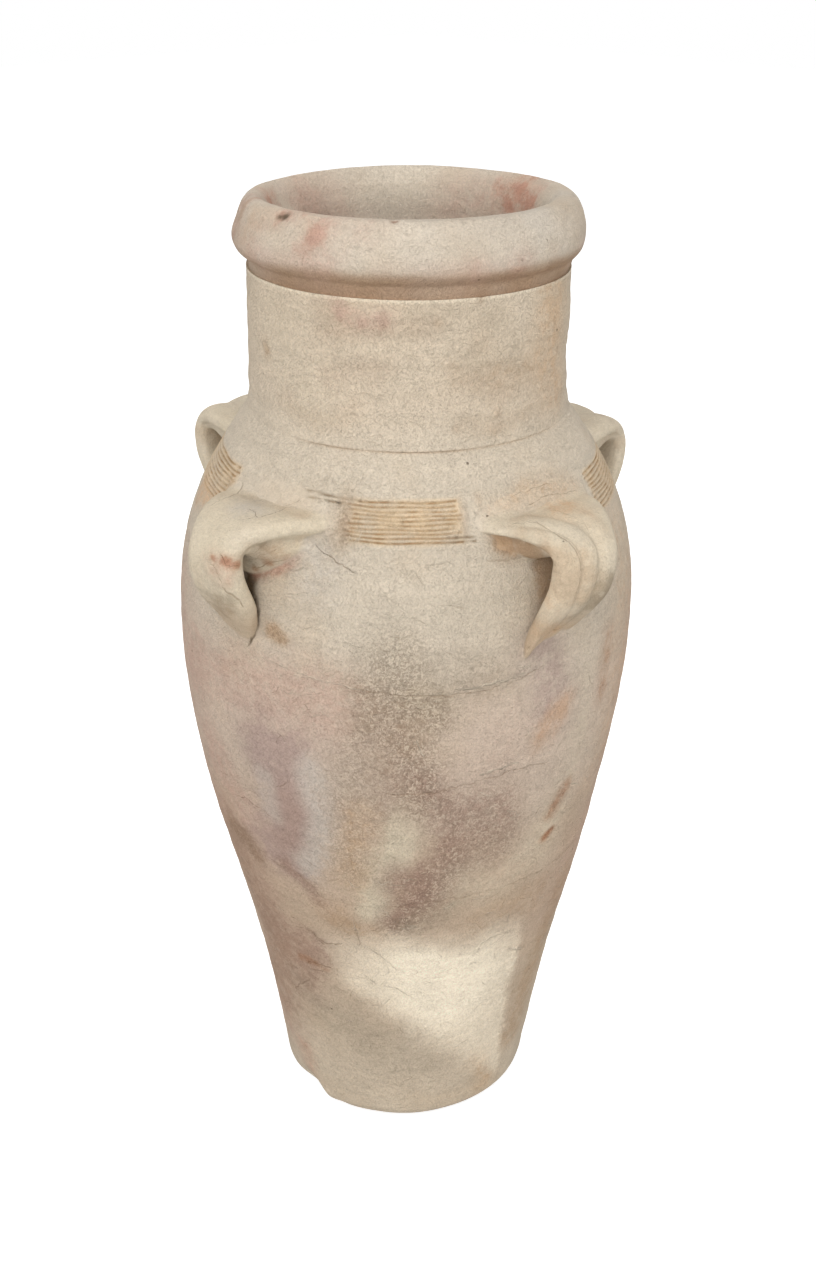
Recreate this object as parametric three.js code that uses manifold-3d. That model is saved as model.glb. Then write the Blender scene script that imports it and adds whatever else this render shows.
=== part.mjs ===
// Four-handled terracotta amphora, built up from thrown sections that are luted together with slip.
// Millimetres, +Z up. The origin is the centre of the foot, on the surface that the jar stands on.
import * as THREE from 'three';
import { mergeVertices } from 'three/addons/utils/BufferGeometryUtils.js';
import Module from 'manifold-3d';

// Heights of the sections, stacked from the ground up
const HEEL_HEIGHT = 8;
const FLOOR_THICKNESS = 12;
const BELLY_SEAM_HEIGHT = 237;
const SHOULDER_HEIGHT = 83;
const NECK_HEIGHT = 54;
const RIM_HEIGHT = 26;

// Diameters on the outline
const FOOT_DIAMETER = 84;
const HEEL_TURN_DIAMETER = 108;
const HEEL_DIAMETER = 112.5;
const BELLY_DIAMETER = 183;
const NECK_FOOT_DIAMETER = 124.6;
const NECK_WAIST_DIAMETER = 122.4;
const NECK_TOP_DIAMETER = 122;
const LIP_DIAMETER = 130;
const MOUTH_DIAMETER = 100;

// Walls, and the film of slip between two luted pieces
const BODY_WALL = 9;
const NECK_WALL = 10.5;
const SLIP = 0.3;

// How each outline leaves its ends: directions, and how far they hold
const HEEL_LEAN_DEG = 7;
const HEEL_HOLD = 134;
const BELLY_HOLD_BELOW = 106;
const BELLY_HOLD_ABOVE = 31;
const SHOULDER_HOLD = 40;
const SHOULDER_PITCH_DEG = 53;
const BELLY_SEAM_RISE = 5;
const NECK_SEAM_DROP = 3;
const NECK_FOOT_FILLET = 15;

// Rolled lip: its crown above the widest line, its belly below it, and the cove under it
const LIP_CROWN = 14;
const LIP_DROP = 8;
const LIP_TUCK_DEG = 60;
const COVE_STEP = 0.9;

// Strap handles, measured on the middle line of the strap, apart from the reach of the crown's outer face
const HANDLE_ROOT_DROP = 25;
const HANDLE_TAIL_RISE = 18;
const HANDLE_APEX_DROP = 11;
const HANDLE_REACH = 18.3;
const ROOT_EMBED = 8;
const TAIL_EMBED = 4;
const LAUNCH_DEG = 16;
const LAUNCH_HOLD = 17;
const CROWN_HOLD_ABOVE = 13;
const CROWN_HOLD_BELOW = 13;
const TAIL_DEG = 58;
const TAIL_HOLD = 13;
const STRAP_WIDTH = { root: 54, crown: 27, tail: 26 };
const STRAP_THICKNESS = { root: 9, crown: 8.8, tail: 7 };
const FINGER_GROOVE = 1.6;
const STRAP_SQUARENESS = 2.6;

// Web of clay pushed up under each root: its depth, how far its sides are drawn in,
// and where along the strap it starts to thin and where it has run out
const WEB_DEPTH = 8;
const WEB_WAIST = 0.3;
const WEB_FULL_TO = 0.08;
const WEB_RUN_OUT = 0.42;

// Where along the strap the root's sizes have eased into the crown's, and where the tail's begin
const CROWN_FROM = 0.45;
const TAIL_FROM = 0.6;

// Clay pad under each upper root: half its width round the shoulder, half its length down it,
// its rise off the wall, and how far its widest line lies below the wall
const PAD_HALF_WIDTH = 28;
const PAD_HALF_LENGTH = 15;
const PAD_RISE = 3;
const PAD_SINK = 2.2;

// Handles by name. Each was pulled and set by hand, so its root and its tail have compass angles of their
// own, in degrees from +X, it sits a little higher or lower than the rest, and its pull left it slim or stout.
const HANDLES = [
  { name: 'front_right', root: -6, tail: -9, lift: 0, slim: 1, stout: 1 },
  { name: 'back_right', root: 80, tail: 80, lift: 0, slim: 1, stout: 1 },
  { name: 'back_left', root: -172, tail: -172, lift: 3, slim: 1, stout: 1 },
  { name: 'front_left', root: -84, tail: -89, lift: 0, slim: 0.86, stout: 1.25 },
];

// Facets
const TURN_STEPS = 48;
const OUTLINE_STEPS = 10;
const STRAP_STEPS = 20;
const STRAP_SIDES = 18;
const PAD_SIDES = 24;

const wasm = await Module();
wasm.setup();

const degrees = THREE.MathUtils.degToRad;
const bellyRadius = BELLY_DIAMETER / 2;
const heelRadius = HEEL_DIAMETER / 2;
const neckFootRadius = NECK_FOOT_DIAMETER / 2;
const neckTopRadius = NECK_TOP_DIAMETER / 2;
const neckBase = BELLY_SEAM_HEIGHT + SHOULDER_HEIGHT;
const neckTop = neckBase + NECK_HEIGHT;
const rimTop = neckTop + RIM_HEIGHT;

// A point on a profile: x is the distance from the axis, y is the height.
const at = (radius, height) => new THREE.Vector2(radius, height);

// A point a given way from another one, in the direction of an angle measured from the horizontal
function toward(point, angleDeg, length) {
  return at(point.x + length * Math.cos(degrees(angleDeg)), point.y + length * Math.sin(degrees(angleDeg)));
}

// A profile's points moved sideways along its normals: positive goes away from the axis on a rising profile.
function offset(points, distance) {
  return points.map((point, i) => {
    const before = points[Math.max(i - 1, 0)];
    const after = points[Math.min(i + 1, points.length - 1)];
    const along = after.clone().sub(before).normalize();
    return at(point.x + along.y * distance, point.y - along.x * distance);
  });
}

// A profile turned round the axis
function turned(profile) {
  return new THREE.LatheGeometry(profile, TURN_STEPS).rotateX(Math.PI / 2);
}

// A closed ring of wall: up the outside, over the top joint, down the inside, and back to the start
function wallRing(outside, inside) {
  return turned([...outside, ...inside.toReversed(), outside[0]]);
}

// Outlines of the body: the swelling wall from heel to belly, and the shoulder from belly to neck
const heel = at(heelRadius, HEEL_HEIGHT);
const bellySeam = at(bellyRadius, BELLY_SEAM_HEIGHT);
const neckFoot = at(neckFootRadius, neckBase);
const lowerOutside = new THREE.CubicBezierCurve(
  heel,
  toward(heel, 90 - HEEL_LEAN_DEG, HEEL_HOLD),
  at(bellyRadius, BELLY_SEAM_HEIGHT - BELLY_HOLD_BELOW),
  bellySeam,
).getPoints(OUTLINE_STEPS);
const shoulderOutside = new THREE.CubicBezierCurve(
  bellySeam,
  at(bellyRadius, BELLY_SEAM_HEIGHT + BELLY_HOLD_ABOVE),
  toward(neckFoot, -SHOULDER_PITCH_DEG, SHOULDER_HOLD),
  neckFoot,
).getPoints(OUTLINE_STEPS);
const bodyOutside = [...lowerOutside, ...shoulderOutside.slice(1)];
const bellyLap = at(bellyRadius - BODY_WALL, BELLY_SEAM_HEIGHT + BELLY_SEAM_RISE);

// The radius of the body's outside at a height
function bodyRadiusAt(height) {
  const above = bodyOutside.findIndex((point) => point.y >= height);
  const upper = bodyOutside[Math.max(above, 1)];
  const lower = bodyOutside[Math.max(above, 1) - 1];
  return THREE.MathUtils.mapLinear(height, lower.y, upper.y, lower.x, upper.x);
}

// The angle of the body's outward normal above the horizontal at a height
function bodyNormalAt(height) {
  const step = 1;
  const fall = bodyRadiusAt(height - step) - bodyRadiusAt(height + step);
  return Math.atan2(fall, 2 * step);
}

// Flat clay disc with a rounded heel. The wall stands on its bevelled edge.
function baseSlab() {
  const bevelInner = at(lowerOutside[0].x - BODY_WALL, FLOOR_THICKNESS);
  const heelRound = new THREE.QuadraticBezierCurve(
    at(FOOT_DIAMETER / 2, 0),
    at(HEEL_TURN_DIAMETER / 2, 0),
    heel,
  ).getPoints(OUTLINE_STEPS / 2);
  return turned([at(0, 0), ...heelRound, bevelInner, at(0, FLOOR_THICKNESS)]);
}

// Thrown lower wall, from the floor's bevel to the belly, with a lap that rises towards the inside
function lowerBody() {
  const outside = [at(heel.x, heel.y + SLIP), ...lowerOutside.slice(1)];
  const inside = offset(lowerOutside, -BODY_WALL);
  inside[0] = at(heel.x - BODY_WALL, FLOOR_THICKNESS + SLIP);
  inside[inside.length - 1] = bellyLap;
  return wallRing(outside, inside);
}

// Upper wall: the belly's crown, the shoulder and the opening that carries the neck
function upperBody() {
  const outside = [at(bellySeam.x, bellySeam.y + SLIP), ...shoulderOutside.slice(1)];
  const inside = offset(shoulderOutside, -BODY_WALL);
  inside[0] = at(bellyLap.x, bellyLap.y + SLIP);
  return wallRing(outside, inside);
}

// Straight collar on the shoulder. Its lower face follows the bevel of the shoulder's opening.
function neckCollar() {
  const bore = NECK_WAIST_DIAMETER / 2 - NECK_WALL;
  const shoulderLip = offset(shoulderOutside, -BODY_WALL).at(-1);
  const bevelSlope = (neckFoot.y - shoulderLip.y) / (neckFoot.x - shoulderLip.x);
  const foot = new THREE.QuadraticBezierCurve(
    at(neckFoot.x, neckBase + SLIP),
    at(NECK_WAIST_DIAMETER / 2, neckBase + SLIP),
    at(NECK_WAIST_DIAMETER / 2, neckBase + NECK_FOOT_FILLET),
  ).getPoints(OUTLINE_STEPS / 2);
  const outside = [...foot, at(neckTopRadius, neckTop)];
  const inside = [
    at(bore, neckBase + SLIP - bevelSlope * (neckFoot.x - bore)),
    at(bore, neckTop - NECK_SEAM_DROP),
  ];
  return wallRing(outside, inside);
}

// Rolled lip: a cove rises from the collar's edge into a fat roll that turns over into the mouth.
function rimRoll() {
  const halfRoll = (LIP_DIAMETER - MOUTH_DIAMETER) / 4;
  const rollRadius = MOUTH_DIAMETER / 2 + halfRoll;
  const widest = rimTop - LIP_CROWN;
  const onRoll = (angleDeg, below) => at(
    rollRadius + halfRoll * Math.cos(degrees(angleDeg)),
    widest + below * Math.sin(degrees(angleDeg)),
  );
  const tuck = onRoll(-LIP_TUCK_DEG, LIP_DROP);
  const coveFoot = at(neckTopRadius - COVE_STEP, neckTop + SLIP);
  const cove = new THREE.QuadraticBezierCurve(
    coveFoot,
    at(coveFoot.x, (coveFoot.y + tuck.y) / 2),
    tuck,
  ).getPoints(OUTLINE_STEPS / 2);
  const under = [-LIP_TUCK_DEG * 2 / 3, -LIP_TUCK_DEG / 3].map((angle) => onRoll(angle, LIP_DROP));
  const over = new THREE.EllipseCurve(rollRadius, widest, halfRoll, LIP_CROWN, 0, Math.PI)
    .getPoints(OUTLINE_STEPS);
  const throat = at(MOUTH_DIAMETER / 2, neckTop + SLIP - NECK_SEAM_DROP);
  return turned([...cove, ...under, ...over, throat, cove[0]]);
}

// Closed mesh as a solid for cutting
function solid(geometry) {
  const bare = geometry.clone();
  bare.deleteAttribute('normal');
  bare.deleteAttribute('uv');
  const merged = mergeVertices(bare, 1e-4);
  const corners = merged.index.array;
  const kept = [];
  for (let i = 0; i < corners.length; i += 3) {
    const [a, b, c] = corners.slice(i, i + 3);
    if (a !== b && b !== c && c !== a) kept.push(a, b, c);
  }
  const vertProperties = new Float32Array(merged.attributes.position.array);
  const triVerts = new Uint32Array(kept);
  return new wasm.Manifold(new wasm.Mesh({ numProp: 3, vertProperties, triVerts }));
}

// Solid back to a geometry
function skin(cut) {
  const mesh = cut.getMesh();
  const geometry = new THREE.BufferGeometry();
  geometry.setAttribute('position', new THREE.BufferAttribute(new Float32Array(mesh.vertProperties), 3));
  geometry.setIndex(new THREE.BufferAttribute(new Uint32Array(mesh.triVerts), 1));
  geometry.computeVertexNormals();
  return geometry;
}

// The body's outside with the film of slip on it, as one solid that seats what is luted to it
const seat = offset(bodyOutside, SLIP);
const seatSolid = solid(turned([at(0, seat[0].y), ...seat, at(0, seat.at(-1).y)]));

const rootHeightOf = (handle) => neckBase - HANDLE_ROOT_DROP + handle.lift;
const tailHeightOf = (handle) => BELLY_SEAM_HEIGHT + HANDLE_TAIL_RISE + handle.lift;

// The middle line of a strap in its own upright plane: out of the shoulder, over, and back in to the belly
function strapLine(handle) {
  const [rootHeight, tailHeight] = [rootHeightOf(handle), tailHeightOf(handle)];
  const wallPoint = at(bodyRadiusAt(rootHeight), rootHeight);
  const root = toward(wallPoint, LAUNCH_DEG, -ROOT_EMBED);
  const crownMiddle = bellyRadius + HANDLE_REACH - STRAP_THICKNESS.crown * handle.stout / 2;
  const apex = at(crownMiddle, rootHeight - HANDLE_APEX_DROP);
  const tail = toward(at(bodyRadiusAt(tailHeight), tailHeight), TAIL_DEG, -TAIL_EMBED);
  const path = new THREE.CurvePath();
  path.add(new THREE.CubicBezierCurve(
    root,
    toward(root, LAUNCH_DEG, LAUNCH_HOLD),
    at(apex.x, apex.y + CROWN_HOLD_ABOVE),
    apex,
  ));
  path.add(new THREE.CubicBezierCurve(
    apex,
    at(apex.x, apex.y - CROWN_HOLD_BELOW),
    toward(tail, TAIL_DEG, TAIL_HOLD),
    tail,
  ));
  return path;
}

// A size along the strap, eased from root to crown to tail
function along(size, t) {
  const ease = THREE.MathUtils.smoothstep;
  const fromRoot = THREE.MathUtils.lerp(size.root, size.crown, ease(t, 0, CROWN_FROM));
  return THREE.MathUtils.lerp(fromRoot, size.tail, ease(t, TAIL_FROM, 1));
}

// A strap's sizes with its crown and tail drawn slimmer or left stouter by its own pull
function pulled(size, share) {
  return { root: size.root, crown: size.crown * share, tail: size.tail * share };
}

// One ring of the strap: a squarish oval with a finger groove along its outer side and the web under its root
function strapSection(handle, t) {
  const halfWidth = along(pulled(STRAP_WIDTH, handle.slim), t) / 2;
  const halfThickness = along(pulled(STRAP_THICKNESS, handle.stout), t) / 2;
  const groove = FINGER_GROOVE * Math.sin(Math.PI * t);
  const web = 1 - THREE.MathUtils.smoothstep(t, WEB_FULL_TO, WEB_RUN_OUT);
  const power = 2 / STRAP_SQUARENESS;
  return Array.from({ length: STRAP_SIDES }, (_, side) => {
    const turn = side / STRAP_SIDES * 2 * Math.PI;
    const across = Math.sign(Math.cos(turn)) * Math.abs(Math.cos(turn)) ** power;
    const out = Math.sign(Math.sin(turn)) * Math.abs(Math.sin(turn)) ** power;
    const dip = out > 0 ? groove * Math.cos(across * Math.PI / 2) ** 2 : 0;
    const under = Math.max(-out, 0) * web;
    return at(across * halfWidth * (1 - WEB_WAIST * under), out * halfThickness - dip - WEB_DEPTH * under);
  });
}

// A place round the jar: its distance from the axis, its height, and its way sideways from a compass angle
function around(radius, height, sideways, compassDeg) {
  const angle = degrees(compassDeg) + sideways / radius;
  return [radius * Math.cos(angle), radius * Math.sin(angle), height];
}

// The strap of one handle as a loft of rings that hug the jar's curve, before it is cut to its seats
function strapLoft(handle) {
  const line = strapLine(handle);
  const compassAt = (t) => THREE.MathUtils.lerp(handle.root, handle.tail, t);
  const positions = [];
  for (let step = 0; step <= STRAP_STEPS; step += 1) {
    const t = step / STRAP_STEPS;
    const middle = line.getPoint(t);
    const forward = line.getTangent(t);
    for (const spot of strapSection(handle, t)) {
      const radius = middle.x - forward.y * spot.y;
      const height = middle.y + forward.x * spot.y;
      positions.push(...around(radius, height, spot.x, compassAt(t)));
    }
  }
  const faces = [];
  const corner = (step, side) => step * STRAP_SIDES + (side % STRAP_SIDES);
  for (let step = 0; step < STRAP_STEPS; step += 1) {
    for (let side = 0; side < STRAP_SIDES; side += 1) {
      const [a, b] = [corner(step, side), corner(step, side + 1)];
      const [c, d] = [corner(step + 1, side + 1), corner(step + 1, side)];
      faces.push(a, b, c, a, c, d);
    }
  }
  const ends = positions.length / 3;
  for (const t of [0, 1]) {
    const middle = line.getPoint(t);
    positions.push(...around(middle.x, middle.y, 0, compassAt(t)));
  }
  for (let side = 0; side < STRAP_SIDES; side += 1) {
    faces.push(ends, corner(0, side + 1), corner(0, side));
    faces.push(ends + 1, corner(STRAP_STEPS, side), corner(STRAP_STEPS, side + 1));
  }
  const geometry = new THREE.BufferGeometry();
  geometry.setAttribute('position', new THREE.BufferAttribute(new Float32Array(positions), 3));
  geometry.setIndex(faces);
  return geometry;
}

// The lens of clay under an upper root, sunk into the wall's line and grown by a film where one is asked for
function padLens(handle, film) {
  const rootHeight = rootHeightOf(handle);
  const wallRadius = bodyRadiusAt(rootHeight);
  const tilt = bodyNormalAt(rootHeight);
  const lens = new THREE.SphereGeometry(1, PAD_SIDES, PAD_SIDES / 2);
  const place = lens.attributes.position;
  for (let i = 0; i < place.count; i += 1) {
    const out = place.getY(i) * (PAD_RISE + PAD_SINK + film) - PAD_SINK;
    const sideways = place.getX(i) * (PAD_HALF_WIDTH + film);
    const up = -place.getZ(i) * (PAD_HALF_LENGTH + film);
    const radius = wallRadius + out * Math.cos(tilt) - up * Math.sin(tilt);
    const height = rootHeight + out * Math.sin(tilt) + up * Math.cos(tilt);
    place.setXYZ(i, ...around(radius, height, sideways, handle.root));
  }
  return lens;
}

function rootPad(handle) {
  return skin(solid(padLens(handle, 0)).subtract(seatSolid));
}

function strapHandle(handle) {
  return skin(solid(strapLoft(handle)).subtract(seatSolid).subtract(solid(padLens(handle, SLIP))));
}

// Fired clay, pale cream with a blush
const clay = (colour) => new THREE.MeshStandardMaterial({ color: colour, roughness: 0.93, metalness: 0 });

const amphora = new THREE.Group();
function add(name, geometry, colour) {
  const mesh = new THREE.Mesh(geometry, clay(colour));
  mesh.name = name;
  amphora.add(mesh);
}

add('base_slab', baseSlab(), '#c3b09b');
add('lower_body', lowerBody(), '#c4b09f');
add('upper_body', upperBody(), '#cbbaa6');
add('neck_collar', neckCollar(), '#d0bfa9');
add('rim_roll', rimRoll(), '#d3c2ad');
for (const handle of HANDLES) {
  add(`root_pad_${handle.name}`, rootPad(handle), '#d2b899');
  add(`handle_${handle.name}`, strapHandle(handle), '#d0c0ab');
}

export default amphora;
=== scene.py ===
# Looks of a four-handled terracotta amphora: thrown walls, combing, luted straps and firing stains.
# Lengths are in millimetres until a mesh is made, and angles in degrees from the line that faces the camera,
# positive to the right, unless a name says otherwise.
import math

import bpy
import numpy as np
from mathutils import Euler, Matrix


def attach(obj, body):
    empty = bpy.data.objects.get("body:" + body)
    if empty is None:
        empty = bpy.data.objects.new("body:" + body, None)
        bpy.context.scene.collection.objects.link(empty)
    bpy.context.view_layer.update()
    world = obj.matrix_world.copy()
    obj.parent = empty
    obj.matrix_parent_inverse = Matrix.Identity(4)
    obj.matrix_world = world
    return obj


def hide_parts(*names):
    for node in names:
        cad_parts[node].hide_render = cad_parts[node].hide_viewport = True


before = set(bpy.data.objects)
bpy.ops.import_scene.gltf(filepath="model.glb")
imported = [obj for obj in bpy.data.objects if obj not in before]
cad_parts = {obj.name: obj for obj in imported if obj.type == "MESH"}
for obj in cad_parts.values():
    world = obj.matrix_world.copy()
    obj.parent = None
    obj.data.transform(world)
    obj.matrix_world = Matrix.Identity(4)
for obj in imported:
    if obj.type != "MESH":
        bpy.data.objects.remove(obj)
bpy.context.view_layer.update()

MM = 0.001
# Compass direction of the front, and how far the columns of a turned piece crowd towards it
FRONT_COMPASS = -45
CROWDING = 0.45

# Camera of the photograph, in metres and degrees
CAMERA_DISTANCE = 0.58
CAMERA_HEIGHT = 0.50
CAMERA_PITCH = 26.27
CAMERA_ROLL = 0.3
CAMERA_LENS = 42.85
CAMERA_SHIFT = 0.0008
SENSOR_WIDTH = 36


def smooth(low, high, x):
    t = np.clip((x - low) / (high - low), 0, 1)
    return t * t * (3 - 2 * t)


# Rises from 0 to 1 between the first two limits and falls back between the last two
def between(x, rise_from, rise_to, fall_from, fall_to):
    return smooth(rise_from, rise_to, x) * (1 - smooth(fall_from, fall_to, x))


def bell(x, width):
    return np.exp(-(x / width) ** 2)


def apart(angle, other):
    return (angle - other + 180) % 360 - 180


def around(radius, compass, height):
    return np.stack([radius * np.cos(compass), radius * np.sin(compass), height], axis=-1)


def faced(radius, front, height):
    return around(radius, np.radians(front + FRONT_COMPASS), height)


def from_axis(points):
    return np.hypot(points[..., 0], points[..., 1])


def add_object(name, data):
    made = bpy.data.objects.new(name, data)
    bpy.context.scene.collection.objects.link(made)
    return made


# The turn of a camera or lamp that stands out on a compass line and looks down at the jar's axis
def aimed(compass, down):
    return Euler((math.pi / 2 - down, 0, compass + math.pi / 2))


def add_camera():
    data = bpy.data.cameras.new("camera")
    data.lens = CAMERA_LENS
    data.sensor_width = SENSOR_WIDTH
    data.shift_x = CAMERA_SHIFT
    camera = add_object("camera", data)
    compass = math.radians(FRONT_COMPASS)
    camera.location = around(CAMERA_DISTANCE, compass, CAMERA_HEIGHT)
    roll = Matrix.Rotation(math.radians(CAMERA_ROLL), 3, "Z")
    camera.rotation_euler = (aimed(compass, math.radians(CAMERA_PITCH)).to_matrix() @ roll).to_euler()
    bpy.context.scene.camera = camera


add_camera()


# Sizes read from the frame: heights where the sections meet, and radii
def node_points(node):
    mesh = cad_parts[node].data
    flat = np.empty(len(mesh.vertices) * 3)
    mesh.vertices.foreach_get("co", flat)
    return flat.reshape(-1, 3) / MM


def reach(node):
    points = node_points(node)
    return points[:, 2].min(), points[:, 2].max(), from_axis(points).max()


heel_z, _, belly_r = reach("lower_body")
belly_z, neck_z, _ = reach("upper_body")
_, floor_z, heel_r = reach("base_slab")
_, neck_top, neck_foot_r = reach("neck_collar")
_, rim_top, lip_r = reach("rim_roll")

# Sizes that the looks set themselves, in mm and degrees
FOOT_RADIUS = 42
FOOT_HOLD = 54
BODY_WALL = 9
NECK_WALL = 10.5
NECK_WAIST_RADIUS = 61.1
NECK_TOP_RADIUS = 61.0
MOUTH_RADIUS = 50
HEEL_LEAN = 7
HEEL_HOLD = 134
BELLY_HOLD_BELOW = 106
BELLY_HOLD_ABOVE = 31
SHOULDER_PITCH = 53
SHOULDER_HOLD = 40
NECK_FOOT_FILLET = 15
NECK_FLARE = 5
NECK_STEP = 0.3
NECK_GROOVE = 0.22
NECK_LINE = 0.45
LIP_CROWN = 14
LIP_DROP = 8
LIP_TUCK = 60
COVE_STEP = 0.9
BELLY_LAP = 5
NECK_LAP = 8
RIM_LAP = 3
CURVE_STEPS = 400

# Noise on a lattice, from -1 to 1, the same on every run
LATTICE = 64
CLOUD_STRENGTH = 1.6
levels = np.random.default_rng(5).uniform(-1, 1, (LATTICE, LATTICE, LATTICE))


def noise(points, size, seed=0):
    q = points / size + np.array((17.31, 29.73, 41.17)) * seed
    cell = np.floor(q).astype(np.int64)
    f = q - cell
    w = f * f * f * (f * (6 * f - 15) + 10)
    low = cell % LATTICE
    high = (cell + 1) % LATTICE
    total = 0
    for x, wx in ((low[..., 0], 1 - w[..., 0]), (high[..., 0], w[..., 0])):
        for y, wy in ((low[..., 1], 1 - w[..., 1]), (high[..., 1], w[..., 1])):
            for z, wz in ((low[..., 2], 1 - w[..., 2]), (high[..., 2], w[..., 2])):
                total = total + wx * wy * wz * levels[x, y, z]
    return total


# Clouds of noise, in octaves that are each half as coarse and half as strong as the one before
def cloudy(points, size, octaves=3, seed=0):
    total = 0
    for k in range(octaves):
        total = total + noise(points, size / 2 ** k, seed + 31 * k) / 2 ** k
    return total / CLOUD_STRENGTH


# Outlines
def bezier(points, steps):
    t = np.linspace(0, 1, steps + 1)[:, None]
    points = [np.array(p, float) for p in points]
    while len(points) > 1:
        points = [a + (b - a) * t for a, b in zip(points, points[1:])]
    return points[0]


def toward(point, angle, length):
    turn = math.radians(angle)
    return point[0] + length * math.cos(turn), point[1] + length * math.sin(turn)


def spaced(points, step):
    run = np.r_[0, np.cumsum(np.hypot(*np.diff(points, axis=0).T))]
    at = np.linspace(0, run[-1], max(int(round(run[-1] / step)), 2) + 1)
    return np.c_[np.interp(at, run, points[:, 0]), np.interp(at, run, points[:, 1])]


def normals(points):
    along = np.gradient(points, axis=0)
    along /= np.hypot(along[:, 0], along[:, 1])[:, None]
    return np.c_[along[:, 1], -along[:, 0]]


heel = (heel_r, heel_z)
belly = (belly_r, belly_z)
neck_foot = (neck_foot_r, neck_z)
lower_curve = bezier([
    heel,
    toward(heel, 90 - HEEL_LEAN, HEEL_HOLD),
    (belly_r, belly_z - BELLY_HOLD_BELOW),
    belly,
], CURVE_STEPS)
shoulder_curve = bezier([
    belly,
    (belly_r, belly_z + BELLY_HOLD_ABOVE),
    toward(neck_foot, -SHOULDER_PITCH, SHOULDER_HOLD),
    neck_foot,
], CURVE_STEPS)
wall_curve = np.r_[lower_curve, shoulder_curve[1:]]
wall_run = np.r_[0, np.cumsum(np.hypot(*np.diff(wall_curve, axis=0).T))]
wall_normal = normals(wall_curve)
wall_tilt = np.arctan2(wall_normal[:, 1], wall_normal[:, 0])


def wall_radius(z):
    return np.interp(z, wall_curve[:, 1], wall_curve[:, 0])


# Dents of the wall: angle, height, half angle, half height, and rise, which is negative for a hollow
DENTS = [
    (-88, 222, 30, 40, 2.0), (-88, 345, 36, 34, 0.5), (84, 165, 30, 34, -2.4), (100, 235, 22, 22, 0.8),
    (-52, 6, 8, 6, -2.8), (-38, 3, 5, 3, 1.6), (-26, 3, 8, 4, 0.7), (42, -1, 22, 4.5, -4.0),
    (20, -1, 13, 4, -2.8), (-2, -1, 14, 3.5, -1.2), (75, 12, 20, 14, -0.6), (38, 243, 8, 6, -0.9),
    (-43, 243, 8, 6, -0.7), (-12, 262, 12, 16, -0.5), (14, 150, 15, 22, -0.8), (-20, 120, 14, 16, 0.7),
    (150, 120, 30, 30, -1.3), (-140, 190, 28, 26, -1.0), (170, 40, 20, 20, -0.9),
]

# Tool lines: points on the wall, half width and depth of the line, and how dark it is. A negative darkness
# paints a pale line, a painted highlight on the ridges beside the seams.
TOOL_LINES = [
    ([(-11, 239.2), (0, 237.6), (17, 237.2), (27, 239.5), (33, 242.5)], 0.4, 0.5, 0.35),
    # Pale ridges beside the seam at about 240 mm, this line and the next: painted highlight
    ([(-36, 244), (-28, 242.6), (-20, 241), (-11, 239.2)], 0.45, -0.35, -0.4),
    ([(12, 239.8), (22, 240.4), (28, 242.2)], 0.6, -0.6, -0.7),
    ([(-20, 194), (-12, 191), (-4, 194)], 0.4, -0.3, 0),
    ([(-4, 195), (8, 196), (15, 198), (26, 200.5), (36, 199)], 0.4, 0.4, 0.35),
    # Pale ridge beside the seam at about 202 mm: painted highlight
    ([(18, 201.8), (27, 203.8)], 0.6, -0.5, -0.7),
    ([(-40, 147), (-31, 146), (-24, 136), (-11, 135.5), (10, 139.5), (24, 140), (43, 141), (60, 142)],
     0.5, 0.3, 0.25),
    ([(-50, 173.6), (-46, 174.5), (-41, 173.5), (-38.2, 172.2)], 0.36, 0.3, 0.45),
    ([(-23.5, 289), (-21, 287), (-19, 286.6), (-16.5, 284.2), (-15, 284), (-13, 282.6)], 0.28, 0.25, 0.5),
    ([(-38.8, 252.5), (-40.4, 246.9)], 0.35, 0.3, 0.6),
    ([(-27, 106), (-31, 112), (-38, 116)], 0.4, 0.3, 0.4),
    ([(-14.6, 126), (-15, 118), (-14.8, 111)], 0.4, 0.3, 0.4),
    ([(10, 115), (24, 117), (38, 121)], 0.5, -0.25, 0),
    ([(-36.6, 90.4), (-32.1, 92.3), (-27, 92.4)], 0.4, 0.3, 0.6),
    ([(-35, 87), (-30, 88.6)], 0.35, 0.2, 0.5),
    ([(-49, 63.7), (-44.9, 70.1), (-38.1, 78.3)], 0.4, 0.3, 0.5),
    ([(-13.7, 90.9), (-9.3, 86.6), (-3.3, 85.6), (0.7, 81.2)], 0.4, 0.3, 0.4),
    ([(-10.2, 108.8), (-6.8, 103.1), (-4.1, 99.9), (-3.2, 96.3)], 0.35, 0.25, 0.35),
    ([(-36.8, 111.6), (-31.2, 111.9), (-26.6, 107.5), (-21.4, 109.7)], 0.4, 0.3, 0.5),
    ([(23.7, 101.8), (25.6, 107.8), (30.5, 110.2), (36, 109.5)], 0.5, -0.35, -0.6),
    ([(39.5, 96.1), (45.5, 93.2)], 0.6, -0.8, -0.6),
    ([(20, 285), (28, 284.6), (34, 284)], 0.5, 0.3, 0.35),
    ([(100, 205), (130, 207), (165, 203), (200, 206), (240, 204)], 0.6, 0.3, 0.3),
    ([(96, 150), (140, 147), (180, 149), (230, 146)], 0.6, 0.3, 0.3),
]

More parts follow.
